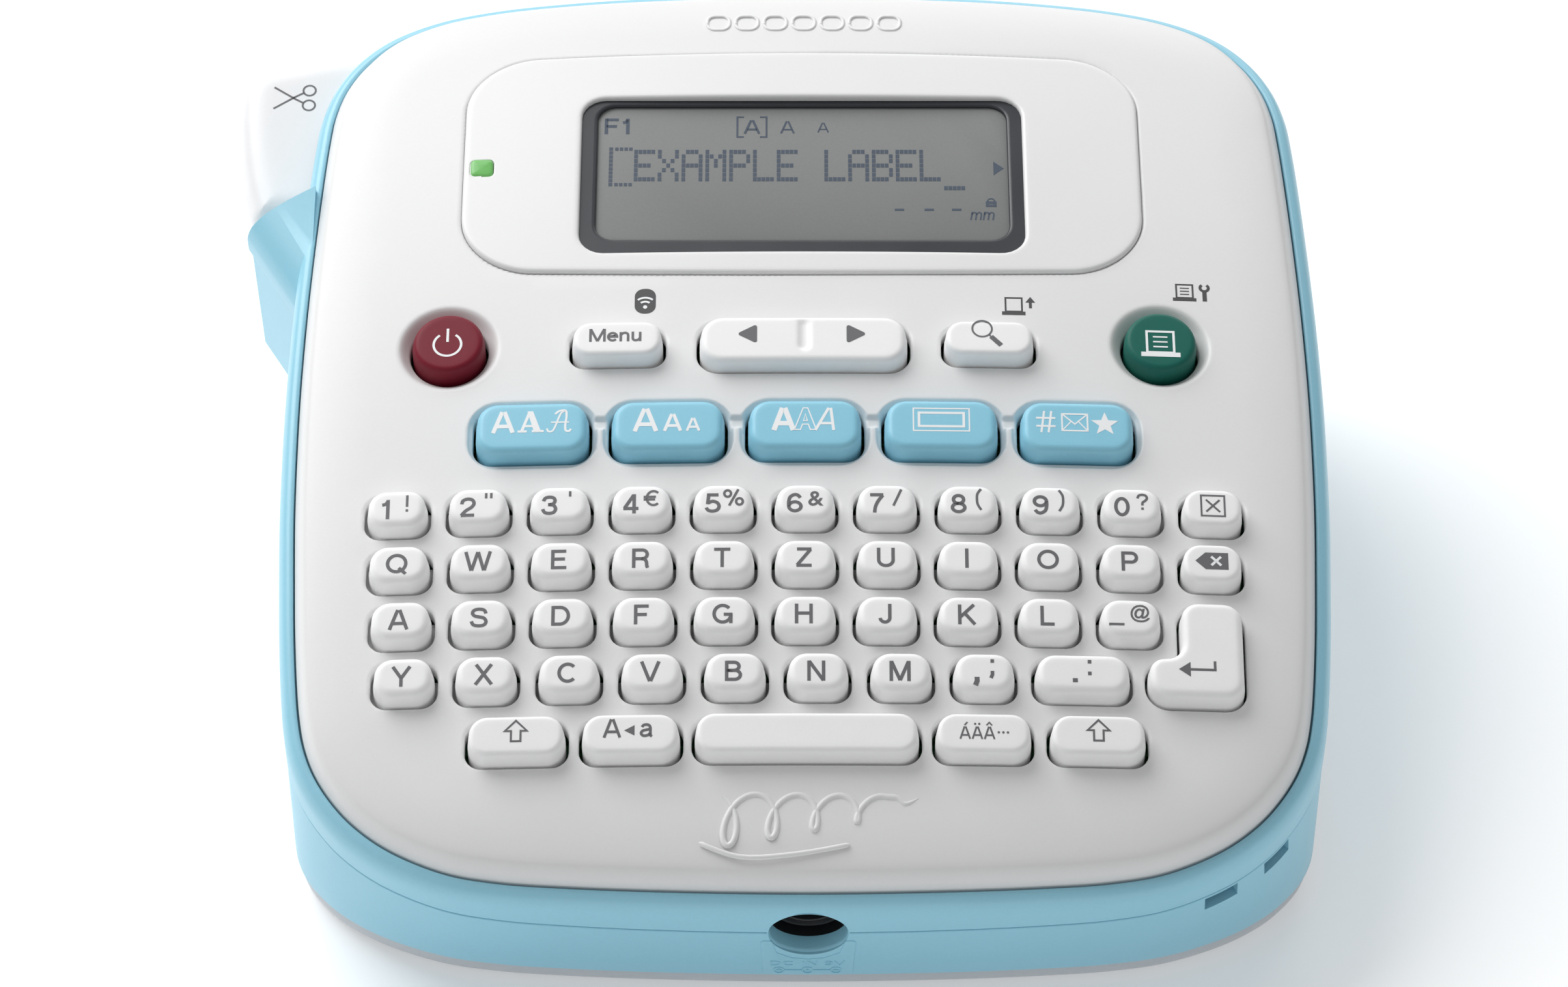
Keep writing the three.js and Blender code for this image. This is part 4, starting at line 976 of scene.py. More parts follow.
def raw_text(string, bold=0.0, shear=0.0, spacing=1.0):
    cu = bpy.data.curves.new("glyph", "FONT")
    cu.body = string
    cu.size = 1.0
    cu.offset = bold
    cu.shear = shear
    cu.space_character = spacing
    cu.resolution_u = 5
    cu.fill_mode = "FRONT"
    ob = bpy.data.objects.new("glyph", cu)
    bpy.context.scene.collection.objects.link(ob)
    bpy.context.view_layer.update()
    me = bpy.data.meshes.new_from_object(ob.evaluated_get(bpy.context.evaluated_depsgraph_get()))
    V = np.array([tuple(v.co)[:2] for v in me.vertices]) if len(me.vertices) else np.zeros((0, 2))
    F = []
    for p in me.polygons:
        f = tuple(p.vertices)
        a = sum(V[f[i]][0] * V[f[(i + 1) % len(f)]][1] - V[f[(i + 1) % len(f)]][0] * V[f[i]][1] for i in range(len(f)))
        F.append(f if a > 0 else f[::-1])
    bpy.data.objects.remove(ob)
    bpy.data.curves.remove(cu)
    bpy.data.meshes.remove(me)
    return V, F


def glyphs(string, bold=0.0, shear=0.0, spacing=1.0, cap="H"):
    key = (string, bold, shear, spacing)
    if key not in _glyph:
        _glyph[key] = raw_text(*key)
    if ("cap", cap, bold) not in _glyph:
        v, _ = raw_text(cap, bold)
        _glyph[("cap", cap, bold)] = float(v[:, 1].max() - v[:, 1].min())
    V, F = _glyph[key]
    return V.copy(), F, _glyph[("cap", cap, bold)]


# Letters drawn with strokes: a unit is the height of a capital, and each entry is its lines' middles.
def ell(cx, cy, rx, ry, a0, a1, n=18):
    t = np.radians(np.linspace(a0, a1, n))
    return np.stack([cx + rx * np.cos(t), cy + ry * np.sin(t)], -1)


def poly(*p):
    return np.array(p, float)


def soft(*p):
    return catmull(p, False, 5)


def chain(*parts):
    return np.concatenate([np.asarray(q, float) for q in parts])


LO, HI = 0.075, 0.925
PEN = {
    "A": [poly((-0.40, 0), (-0.045, 1)), poly((0.40, 0), (0.045, 1)), poly((-0.27, 0.31), (0.27, 0.31))],
    "B": [poly((-0.30, 0), (-0.30, 1)), chain([(-0.30, HI), (0.04, HI)], ell(0.04, 0.725, 0.22, 0.2, 90, -90, 12), [(-0.30, 0.525)]), chain([(-0.30, 0.525), (0.07, 0.525)], ell(0.07, 0.3, 0.25, 0.225, 90, -90, 12), [(-0.30, LO)])],
    "C": [ell(0.03, 0.5, 0.39, 0.425, 44, 316, 26)],
    "D": [poly((-0.34, 0), (-0.34, 1)), chain([(-0.34, HI), (-0.02, HI)], ell(-0.02, 0.5, 0.38, 0.425, 90, -90, 18), [(-0.34, LO)])],
    "E": [poly((-0.29, 0), (-0.29, 1)), poly((-0.29, HI), (0.32, HI)), poly((-0.29, 0.52), (0.27, 0.52)), poly((-0.29, LO), (0.34, LO))],
    "F": [poly((-0.27, 0), (-0.27, 1)), poly((-0.27, HI), (0.32, HI)), poly((-0.27, 0.5), (0.24, 0.5))],
    "G": [chain(ell(0.0, 0.5, 0.39, 0.425, 42, 335, 26), [(0.37, 0.46)]), poly((0.05, 0.47), (0.445, 0.47)), poly((0.375, 0.5), (0.375, 0.02))],
    "H": [poly((-0.33, 0), (-0.33, 1)), poly((0.33, 0), (0.33, 1)), poly((-0.33, 0.52), (0.33, 0.52))],
    "I": [poly((0, 0), (0, 1))],
    "J": [chain([(0.2, 1)], ell(-0.02, 0.3, 0.22, 0.225, 0, -175, 14))],
    "K": [poly((-0.32, 0), (-0.32, 1)), poly((0.33, 1), (-0.30, 0.36)), poly((-0.09, 0.56), (0.37, 0))],
    "L": [poly((-0.26, 0), (-0.26, 1)), poly((-0.26, LO), (0.30, LO))],
    "M": [poly((-0.40, 0), (-0.40, 1)), poly((0.40, 0), (0.40, 1)), poly((-0.385, 0.98), (0.0, 0.04)), poly((0.385, 0.98), (0.0, 0.04))],
    "N": [poly((-0.33, 0), (-0.33, 1)), poly((0.33, 0), (0.33, 1)), poly((-0.32, 0.98), (0.32, 0.02))],
    "O": [ell(0, 0.5, 0.42, 0.425, 0, 360, 34)],
    "P": [poly((-0.30, 0), (-0.30, 1)), chain([(-0.30, HI), (0.08, HI)], ell(0.08, 0.69, 0.235, 0.235, 90, -90, 12), [(-0.30, 0.455)])],
    "Q": [ell(0, 0.5, 0.42, 0.425, 0, 360, 34), poly((0.10, 0.27), (0.42, -0.04))],
    "R": [poly((-0.31, 0), (-0.31, 1)), chain([(-0.31, HI), (0.08, HI)], ell(0.08, 0.7, 0.225, 0.225, 90, -90, 12), [(-0.31, 0.475)]), soft((0.0, 0.475), (0.2, 0.43), (0.27, 0.3), (0.29, 0.1), (0.33, 0.0))],
    "S": [soft((0.31, 0.70), (0.24, 0.86), (0, HI), (-0.24, 0.86), (-0.30, 0.72), (-0.21, 0.59), (0, 0.53), (0.23, 0.46), (0.325, 0.29), (0.25, 0.13), (0, LO), (-0.26, 0.14), (-0.345, 0.31))],
    "T": [poly((-0.37, HI), (0.37, HI)), poly((0, 0), (0, 1))],
    "U": [chain([(-0.33, 1)], ell(0, 0.37, 0.33, 0.295, 180, 360, 18), [(0.33, 1)])],
    "V": [poly((-0.39, 1), (-0.02, 0.02)), poly((0.39, 1), (0.02, 0.02))],
    "W": [poly((-0.56, 1), (-0.30, 0.02)), poly((-0.28, 0.02), (-0.01, 0.98)), poly((0.28, 0.02), (0.01, 0.98)), poly((0.56, 1), (0.30, 0.02))],
    "X": [poly((-0.37, 0), (0.35, 1)), poly((-0.35, 1), (0.37, 0))],
    "Y": [poly((-0.39, 1), (0, 0.42)), poly((0.39, 1), (0, 0.42)), poly((0, 0.47), (0, 0))],
    "Z": [poly((-0.32, HI), (0.34, HI)), poly((-0.35, LO), (0.35, LO)), poly((0.30, 0.9), (-0.31, 0.1))],
    "0": [ell(0, 0.5, 0.25, 0.425, 0, 360, 30)],
    "1": [poly((0.06, 0), (0.06, 1)), soft((-0.18, 0.74), (-0.04, 0.78), (0.06, 0.93))],
    "2": [chain(soft((-0.25, 0.66), (-0.21, 0.83), (-0.02, HI), (0.18, 0.87), (0.25, 0.69), (0.17, 0.51), (-0.08, 0.31), (-0.24, 0.1)), [(-0.24, 0.09)]), poly((-0.28, LO), (0.27, LO))],
    "3": [soft((-0.24, 0.72), (-0.17, 0.87), (0.0, HI), (0.18, 0.87), (0.23, 0.72), (0.15, 0.57), (-0.05, 0.53)), soft((-0.05, 0.53), (0.17, 0.49), (0.26, 0.31), (0.19, 0.13), (0, LO), (-0.19, 0.13), (-0.27, 0.3))],
    "4": [poly((0.12, 0), (0.12, 1)), poly((0.10, 0.96), (-0.27, 0.28)), poly((-0.32, 0.255), (0.3, 0.255))],
    "5": [poly((-0.24, HI), (0.23, HI)), poly((-0.17, 0.96), (-0.215, 0.44)), soft((-0.2, 0.49), (-0.02, 0.59), (0.18, 0.51), (0.255, 0.33), (0.18, 0.14), (-0.02, LO), (-0.2, 0.13), (-0.27, 0.26))],
    "6": [ell(0, 0.31, 0.25, 0.235, 0, 360, 24), soft((0.22, 0.76), (0.13, 0.89), (-0.01, HI), (-0.19, 0.8), (-0.255, 0.52), (-0.25, 0.31))],
    "7": [poly((-0.27, HI), (0.27, HI)), soft((0.25, 0.9), (0.07, 0.62), (-0.05, 0.32), (-0.09, 0))],
    "8": [ell(0, 0.715, 0.21, 0.21, 0, 360, 22), ell(0, 0.295, 0.255, 0.22, 0, 360, 24)],
    "9": [ell(0, 0.69, 0.25, 0.235, 0, 360, 24), soft((-0.22, 0.24), (-0.13, 0.11), (0.01, LO), (0.19, 0.2), (0.255, 0.48), (0.25, 0.69))],
    "!": [poly((0, 0.3), (0, 1)), poly((0, 0), (0, 0.14))],
    '"': [poly((-0.13, 0.68), (-0.13, 1)), poly((0.13, 0.68), (0.13, 1))],
    "'": [poly((0, 0.68), (0, 1))],
    "€": [ell(0.08, 0.5, 0.34, 0.43, 48, 312, 22), poly((-0.42, 0.58), (0.2, 0.58)), poly((-0.42, 0.42), (0.16, 0.42))],
    "%": [ell(-0.3, 0.74, 0.17, 0.2, 0, 360, 18), ell(0.3, 0.25, 0.17, 0.2, 0, 360, 18), poly((-0.22, 0), (0.24, 1))],
    "/": [poly((-0.2, 0), (0.2, 1))],
    "(": [soft((0.1, 1.08), (-0.08, 0.78), (-0.11, 0.45), (-0.07, 0.12), (0.1, -0.2))],
    ")": [soft((-0.1, 1.08), (0.08, 0.78), (0.11, 0.45), (0.07, 0.12), (-0.1, -0.2))],
    "?": [soft((-0.24, 0.7), (-0.17, 0.87), (0, HI), (0.18, 0.87), (0.24, 0.72), (0.16, 0.57), (0.02, 0.45), (0.0, 0.27)), poly((0, 0), (0, 0.14))],
    ".": [poly((0, 0), (0, 0.15))],
    ":": [poly((0, 0), (0, 0.15)), poly((0, 0.5), (0, 0.65))],
    ",": [poly((0, 0.15), (0, 0), (-0.06, -0.15))],
    ";": [poly((0, 0.15), (0, 0), (-0.06, -0.15)), poly((0, 0.5), (0, 0.65))],
    "-": [poly((-0.2, 0.4), (0.2, 0.4))],
    " ": [],
    "a": [soft((-0.21, 0.54), (-0.13, 0.64), (0.02, 0.665), (0.15, 0.61), (0.19, 0.48), (0.19, 0.2), (0.2, 0.1), (0.27, 0.04)), soft((0.19, 0.42), (-0.02, 0.385), (-0.2, 0.32), (-0.25, 0.19), (-0.16, 0.085), (0.0, 0.085), (0.14, 0.15), (0.19, 0.25))],
    "e": [chain([(-0.24, 0.37), (0.25, 0.37)], ell(0, 0.37, 0.25, 0.295, 6, 318, 26))],
    "n": [poly((-0.22, 0), (-0.22, 0.72)), chain(soft((-0.22, 0.47), (-0.12, 0.62), (0.03, 0.665), (0.16, 0.6), (0.2, 0.46)), [(0.2, 0)])],
    "u": [poly((0.22, 0), (0.22, 0.72)), chain([(-0.2, 0.74)], soft((-0.2, 0.26), (-0.16, 0.12), (-0.03, 0.07), (0.12, 0.12), (0.22, 0.28)))],
    "m": [poly((-0.4, 0), (-0.4, 0.72)), chain(soft((-0.4, 0.47), (-0.31, 0.62), (-0.2, 0.665), (-0.07, 0.6), (-0.02, 0.46)), [(-0.02, 0)]), chain(soft((-0.02, 0.47), (0.07, 0.62), (0.19, 0.665), (0.32, 0.6), (0.38, 0.46)), [(0.38, 0)])],
}
WIDTH = {"A": 0.94, "B": 0.84, "C": 0.94, "D": 0.9, "E": 0.8, "F": 0.76, "G": 0.98, "H": 0.86, "I": 0.3, "J": 0.66, "K": 0.86, "L": 0.74, "M": 1.0, "N": 0.86, "O": 1.02, "P": 0.82,
         "Q": 1.02, "R": 0.86, "S": 0.86, "T": 0.84, "U": 0.86, "V": 0.88, "W": 1.24, "X": 0.88, "Y": 0.88, "Z": 0.86, "a": 0.68, "e": 0.68, "n": 0.64, "u": 0.64, "m": 1.0, " ": 0.36}


def write(m, string, cx, base, height, weight=0.15, wide=1.0, shear=0.0, gap=0.04):
    """Draws a word with strokes, centred on cx, its foot on base."""
    ws = [WIDTH.get(c, 0.66 if c.isdigit() else 0.42) * wide + gap for c in string]
    x = cx / height - sum(ws) / 2
    for c, w_ in zip(string, ws):
        for line in PEN[c]:
            P = np.asarray(line, float).copy()
            P[:, 0] = (P[:, 0] * wide + x + w_ / 2 + shear * P[:, 1])
            P = P * height
            P[:, 1] += base
            loop_ = np.linalg.norm(P[0] - P[-1]) < 1e-6
            m.stroke(P[:-1] if loop_ else P, weight * height, loop_)
        x += w_


# ------------------------------------------------------------------ key caps
def cap_mesh(shape, loop, rise, foot=-3.2, bevel=1.05, taper=0.22, shapefn=None, depth=1.0):
    """A key cap: a tapered skirt, a soft edge and a top that follows the deck."""
    N2 = normals2(loop)
    rings = []
    hz = lambda P: surf(P[:, 0], P[:, 1])
    lift = (lambda P: shapefn(P)) if shapefn else (lambda P: np.zeros(len(P)))
    for g, n in ((0.02, foot), (0.0, 0.0)):
        P = loop + N2 * g
        rings.append(deck_to_world(cols(P[:, 0], P[:, 1], hz(P) + n)))
    P = loop - N2 * taper
    rings.append(deck_to_world(cols(P[:, 0], P[:, 1], hz(P) + lift(P) + rise - bevel * depth)))
    for q in np.linspace(0, 90, 8)[1:]:
        s = math.radians(q)
        g = taper + bevel * (1 - math.cos(s))
        P = loop - N2 * g
        rings.append(deck_to_world(cols(P[:, 0], P[:, 1], hz(P) + lift(P) + rise - bevel * depth * (1 - math.sin(s)))))
    last = loop - N2 * (taper + bevel)
    pts = [offset(ccw(last), -0.5)] if shapefn is None else []
    G = grid(last.min(0), last.max(0), 1.6 if shapefn is None else 0.32)
    s = sdf(G, last)
    pts.append(G[s < (-1.0 if shapefn is None else -0.2)])
    V, F, idx = fill(last, [], np.concatenate(pts))
    top = deck_to_world(cols(V[:, 0], V[:, 1], hz(V) + lift(V) + rise))
    start = shape.n
    shape.band(rings)
    shape.add(top, F.tolist())


def cap_place(rise, shapefn=None):
    def place(P, h):
        P = np.asarray(P, float)
        return deck_to_world(cols(P[:, 0], P[:, 1], surf(P[:, 0], P[:, 1]) + rise + (shapefn(P) if shapefn else 0) + h))
    return place


W_RISE, B_RISE = 2.8, 2.2
KEYTOP = cap_place(W_RISE)
BLUETOP = cap_place(B_RISE)

SUPER = {"1": "!", "2": '"', "3": "'", "4": "€", "5": "%", "6": "&", "7": "/", "8": "(", "9": ")", "0": "?"}
for node, (web, row) in ROWS.items():
    s = Shape()
    marks = Marks(KEYTOP)
    for name, x, f, w, d in row:
        cap_mesh(s, loops["row" + name], W_RISE)
        mv = f + d / 2
        if name in SUPER:
            write(marks, name, x - 1.4, mv - 1.85, 3.05, 0.16, 1.1)
            if SUPER[name] == "&":
                marks.text("&", x + 1.5, mv - 0.75, 2.35, bold=0.012)
            else:
                write(marks, SUPER[name], x + 1.45, mv - 0.75, 2.6, 0.135, 1.05)
        elif name == "_":
            marks.polygon([(x - 3.0, mv - 1.35), (x - 0.9, mv - 1.35), (x - 0.9, mv - 1.0), (x - 3.0, mv - 1.0)])
            marks.text("@", x + 1.3, mv - 0.2, 1.95, bold=0.014)
        elif name == ",":
            write(marks, ",", x - 1.0, mv - 1.5, 4.0, 0.17)
            write(marks, ";", x + 1.1, mv - 0.5, 3.5, 0.14)
        elif name == ".":
            write(marks, ".", x - 1.1, mv - 1.5, 4.0, 0.17)
            write(marks, ":", x + 0.9, mv - 0.4, 3.5, 0.14)
        else:
            write(marks, name, x - 0.2, mv - 1.62, 3.0, 0.158)
    xs = [(k[1] - k[3] / 2, k[1] + k[3] / 2) for k in row]
    f = row[0][2]
    x0, x1 = min(a for a, _ in xs) - 0.7, max(b for _, b in xs) + 0.7
    prism(s, [(x0, f + 0.9), (x1, f + 0.9), (x1, f + 5.3), (x0, f + 5.3)], web - 1.0, web)
    s.object(node + "_caps", M["keys"], node, 40, [node], "key_white", weld=2e-6)
    marks.object(node + "_legends", M["ink"], node)


def legend_symbols(m, x, v):
    m.box(x - 1.75, x + 1.75, v - 1.75, v + 1.75, 0.26)
    m.stroke([(x - 0.95, v - 0.95), (x + 0.95, v + 0.95)], 0.28)
    m.stroke([(x - 0.95, v + 0.95), (x + 0.95, v - 0.95)], 0.28)


def legend_backspace(m, x, v):
    m.polygon([(x - 2.35, v), (x - 0.95, v + 1.3), (x + 2.2, v + 1.3), (x + 2.2, v - 1.3), (x - 0.95, v - 1.3)])
    c = Marks(m.place, 0.02, 0.045)
    c.stroke([(x - 0.15, v - 0.68), (x + 1.2, v + 0.68)], 0.36)
    c.stroke([(x - 0.15, v + 0.68), (x + 1.2, v - 0.68)], 0.36)
    c.object("key_backspace_cross", M["ink_white"], "key_backspace")


def legend_shift(m, x, v):
    m.stroke([(x, v + 1.55), (x + 1.5, v + 0.05), (x + 0.65, v + 0.05), (x + 0.65, v - 1.45), (x - 0.65, v - 1.45), (x - 0.65, v + 0.05), (x - 1.5, v + 0.05)], 0.28, True)


def legend_enter(m, x, v):
    m.stroke([(x + 2.4, v + 1.3), (x + 2.4, v), (x - 1.4, v)], 0.36)
    m.polygon([(x - 2.55, v), (x - 0.95, v + 1.1), (x - 0.95, v - 1.1)])


def legend_caps(m, x, v):
    write(m, "A", -26.15, -38.81, 2.68, 0.145)
    m.polygon([(-24.5, -37.8), (-23.1, -37.05), (-23.1, -38.55)])
    write(m, "a", -21.5, -38.81, 2.75, 0.14, 1.02)


def legend_accents(m, x, v):
    write(m, "AAA", x - 0.9, v - 1.15, 1.8, 0.135, 0.92, gap=0.05)
    m.stroke([(x - 2.62, v + 0.85), (x - 2.22, v + 1.3)], 0.2)
    for q in (-0.28, 0.28):
        m.disc(x - 0.9 + q, v + 1.05, 0.16, 10)
    m.stroke([(x + 0.35, v + 0.85), (x + 0.73, v + 1.28), (x + 1.11, v + 0.85)], 0.19)
    for i in range(3):
        m.disc(x + 2.0 + i * 0.62, v - 0.15, 0.17, 12)


def star(cx, cv, r, inner=0.42, points=5):
    t = math.pi / 2 + np.arange(points * 2) * math.pi / points
    rr_ = np.where(np.arange(points * 2) % 2 == 0, r, r * inner)
    return np.stack([cx + rr_ * np.cos(t), cv + rr_ * np.sin(t)], -1)


def legend_font(m, x, v):
    write(m, "A", -42.1, 9.15, 3.5, 0.17, 0.98)
    # a heavy letter with feet
    m.stroke([(-39.5, 9.3), (-38.4, 12.55)], 0.42)
    m.polygon([(-38.75, 12.65), (-37.95, 12.65), (-36.75, 9.2), (-37.75, 9.2)])
    m.polygon([(-40.05, 9.15), (-38.75, 9.15), (-38.75, 9.5), (-40.05, 9.5)])
    m.polygon([(-38.05, 9.15), (-36.4, 9.15), (-36.4, 9.5), (-38.05, 9.5)])
    m.stroke([(-39.1, 10.2), (-37.6, 10.2)], 0.36)
    # a letter in a flowing hand
    m.stroke(soft((-35.95, 9.75), (-35.75, 9.25), (-35.2, 9.3), (-34.75, 10.2), (-34.3, 11.6), (-33.9, 12.4), (-33.45, 12.6)), 0.26)
    m.stroke(soft((-34.85, 12.1), (-34.3, 12.6), (-33.4, 12.65), (-33.25, 11.8), (-33.4, 10.2), (-33.3, 9.35), (-32.85, 9.25), (-32.6, 9.6)), 0.3)
    m.stroke([(-35.4, 10.75), (-32.9, 10.75)], 0.22)


def legend_size(m, x, v):
    write(m, "A", -22.2, 9.0, 3.75, 0.165)
    write(m, "A", -18.43, 9.02, 2.8, 0.165)
    write(m, "A", -15.57, 9.0, 2.12, 0.165)


def legend_style(m, x, v):
    write(m, "A", -2.95, 9.03, 3.7, 0.2, 0.92)
    # an outlined letter
    m.stroke([(-1.45, 9.12), (-0.22, 12.72), (0.42, 12.72), (1.6, 9.12), (0.78, 9.12), (0.5, 10.0), (-0.32, 10.0), (-0.6, 9.12)], 0.17, True)
    m.stroke([(-0.16, 10.6), (0.36, 10.6), (0.1, 11.75)], 0.15, True)
    write(m, "A", 2.75, 9.03, 3.7, 0.11, 0.86, 0.2)


def legend_frame(m, x, v):
    m.box(x - 4.0, x + 4.0, 8.95, 12.85, 0.2)
    m.box(x - 3.3, x + 3.3, 9.62, 12.2, 0.36)


def legend_symbol_menu(m, x, v):
    for q in (-4.95, -3.95):
        m.stroke([(x + q - 0.1, 9.05), (x + q + 0.35, 12.6)], 0.3)
    for q in (10.1, 11.45):
        m.stroke([(x - 5.75, q), (x - 3.05, q)], 0.3)
    m.box(x - 2.25, x + 1.55, 9.3, 12.3, 0.24)
    m.stroke([(x - 2.15, 12.2), (x - 0.35, 10.5), (x + 1.45, 12.2)], 0.2)
    m.stroke([(x - 2.15, 9.4), (x - 0.85, 10.95)], 0.16)
    m.stroke([(x + 1.45, 9.4), (x + 0.15, 10.95)], 0.16)
    m.polygon(star(x + 3.85, 10.6, 2.0))


def legend_menu(m, x, v):
    write(m, "Menu", x - 0.25, v - 0.85, 2.2, 0.165, 1.12, gap=0.03)


def legend_preview(m, x, v):
    m.arc(25.01, 26.07, 1.38, 0, 360, 0.27, 36)
    m.stroke([(25.95, 25.05), (26.4, 24.6)], 0.24)
    m.stroke([(26.25, 24.75), (27.65, 23.25)], 0.72)


LEGEND = {"key_symbols": legend_symbols, "key_backspace": legend_backspace, "key_shift_left": legend_shift, "key_shift_right": legend_shift, "key_caps": legend_caps,
          "key_accents": legend_accents, "key_font": legend_font, "key_text_size": legend_size, "key_text_style": legend_style, "key_frame_style": legend_frame,
          "key_symbol_menu": legend_symbol_menu, "key_menu": legend_menu, "key_preview": legend_preview}
for name, (x, f, w, d) in SINGLE.items():
    blue = name in BLUE
    s = Shape()
    cap_mesh(s, loops[name], B_RISE if blue else W_RISE, bevel=0.95 if blue else 0.75)
    s.object(name + "_cap", M["blue_key"] if blue else M["keys"], name, 40, [name], "key_blue" if blue else "key_white", weld=2e-6)
    if name in LEGEND:
        m = Marks(BLUETOP if blue else KEYTOP)
        LEGEND[name](m, x, f + d / 2 + (0.5 if "shift" in name else 0.15))
        m.object(name + "_legend", M["ink_white"] if blue else M["ink"], name)
s = Shape()
cap_mesh(s, enter_loop, W_RISE)
s.object("key_enter_cap", M["keys"], "key_enter", 40, ["key_enter"], "key_white", weld=2e-6)
m = Marks(KEYTOP)
legend_enter(m, 53.4, -28.1)
m.object("key_enter_legend", M["ink"], "key_enter")


# The cursor key: a long bar with a groove across its middle, between its two arrows
def groove(P):
    u = np.abs(P[:, 0] - 0.0)
    w = np.maximum(np.abs(P[:, 1] - 25.25) - 1.9, 0)
    d = np.sqrt(u * u + w * w)
    return -0.42 * (1 - smooth01(0.25, 1.15, d))


s = Shape()
cap_mesh(s, loops["key_cursor"], 2.4, bevel=0.95, shapefn=groove)
s.object("key_cursor_cap", M["keys"], "key_cursor", 40, ["key_cursor"], "key_white", weld=2e-6)
m = Marks(cap_place(2.4, groove))
cv = ARROW[1] + ARROW[3] / 2
for sgn in (-1, 1):
    cx = -0.39 + sgn * 7.7
    m.polygon(round_poly([(cx + sgn * 1.5, 25.25), (cx - sgn * 1.4, 26.95), (cx - sgn * 1.4, 23.55)], 0.3, 4))
m.object("key_cursor_legend", M["ink"], "key_cursor")

for node, (x, v, r), mat in (("key_power", POWER, "red"), ("key_print", PRINT, "green")):
    s = Shape()
    cap_mesh(s, loops[node], 1.6, bevel=0.85, taper=0.15, foot=-4.0)
    s.object(node + "_cap", M[mat], node, 40, [node], "key_red" if mat == "red" else "key_green", weld=2e-6)
    m = Marks(cap_place(1.6))
    if node == "key_power":
        m.arc(x - 0.1, v - 0.45, 1.95, 125, 415, 0.34, 40)
        m.stroke([(x - 0.1, v + 0.0), (x - 0.1, v + 2.3)], 0.36)
    else:
        m.box(x - 2.15, x + 2.0, v - 2.3, v + 1.65, 0.34)
        m.polygon([(x - 2.85, v - 2.85), (x + 2.7, v - 2.85), (x + 2.7, v - 2.1), (x - 2.85, v - 2.1)])
        for q in (-1.15, -0.3, 0.55):
            m.stroke([(x - 1.1, v + q), (x + 0.95, v + q)], 0.24)
    m.object(node + "_legend", M["ink_white"], node)

# ------------------------------------------------------------------ LCD contents
FONT5 = {"E": ["11111", "10000", "10000", "11110", "10000", "10000", "11111"], "X": ["10001", "10001", "01010", "00100", "01010", "10001", "10001"],
         "A": ["01110", "10001", "10001", "11111", "10001", "10001", "10001"], "M": ["10001", "11011", "10101", "10101", "10001", "10001", "10001"],
         "P": ["11110", "10001", "10001", "11110", "10000", "10000", "10000"], "L": ["10000", "10000", "10000", "10000", "10000", "10000", "11111"],
         "B": ["11110", "10001", "10001", "11110", "10001", "10001", "11110"]}
ink = Marks(lambda P, h: on_window(P, LCD_H + h), -0.01, 0.025)
px, pv = 0.62, 0.88
for i, ch in enumerate("EXAMPLE LABEL"):
    if ch == " ":
        continue
    for r_, line in enumerate(FONT5[ch]):
        for c_, on in enumerate(line):
            if on == "1":
                x0, v0 = -24.65 + 3.45 * i + c_ * px, 55.85 + (6 - r_) * pv
                ink.polygon([(x0, v0), (x0 + px * 0.86, v0), (x0 + px * 0.86, v0 + pv * 0.86), (x0, v0 + pv * 0.86)])
for c_ in range(5):
    x0 = 20.25 + c_ * px
    ink.polygon([(x0, 54.15), (x0 + px * 0.86, 54.15), (x0 + px * 0.86, 54.9), (x0, 54.9)])
write(ink, "F1", -27.0, 64.95, 3.0, 0.17, 1.0, gap=0.0)
ink.stroke([(-8.75, 68.25), (-9.7, 68.25), (-9.7, 64.4), (-8.75, 64.4)], 0.28)
ink.stroke([(-6.4, 68.25), (-5.45, 68.25), (-5.45, 64.4), (-6.4, 64.4)], 0.28)
write(ink, "A", -7.57, 65.05, 2.6, 0.14)
write(ink, "A", -2.4, 65.1, 2.35, 0.12)
write(ink, "A", 2.8, 65.3, 1.85, 0.12)
for q in range(10):
    v0 = 54.9 + q * 0.76
    ink.polygon([(-28.3, v0), (-27.75, v0), (-27.75, v0 + 0.62), (-28.3, v0 + 0.62)])
for q in range(4):
    for v0 in (54.9, 61.74):
        ink.polygon([(-27.45 + q * 0.68, v0), (-26.95 + q * 0.68, v0), (-26.95 + q * 0.68, v0 + 0.6), (-27.45 + q * 0.68, v0 + 0.6)])
ink.polygon([(27.45, 57.0), (28.95, 58.3), (27.45, 59.6)])
for x0 in (13.05, 17.35, 21.3):
    ink.polygon([(x0, 50.2), (x0 + 1.35, 50.2), (x0 + 1.35, 50.6), (x0, 50.6)])
write(ink, "mm", 25.6, 48.45, 2.15, 0.11, 0.82, 0.15, gap=0.02)
ink.box(26.2, 27.75, 50.95, 52.0, 0.45)
ink.arc(26.97, 52.0, 0.5, 0, 180, 0.22, 12)
ink.object("lcd_segments", M["lcd_ink"], "housing")

# ------------------------------------------------------------------ marks printed on the cover
def on_cover(P, h):
    P = np.asarray(P, float)
    return deck_to_world(cols(P[:, 0], P[:, 1], surf(P[:, 0], P[:, 1]) + h))


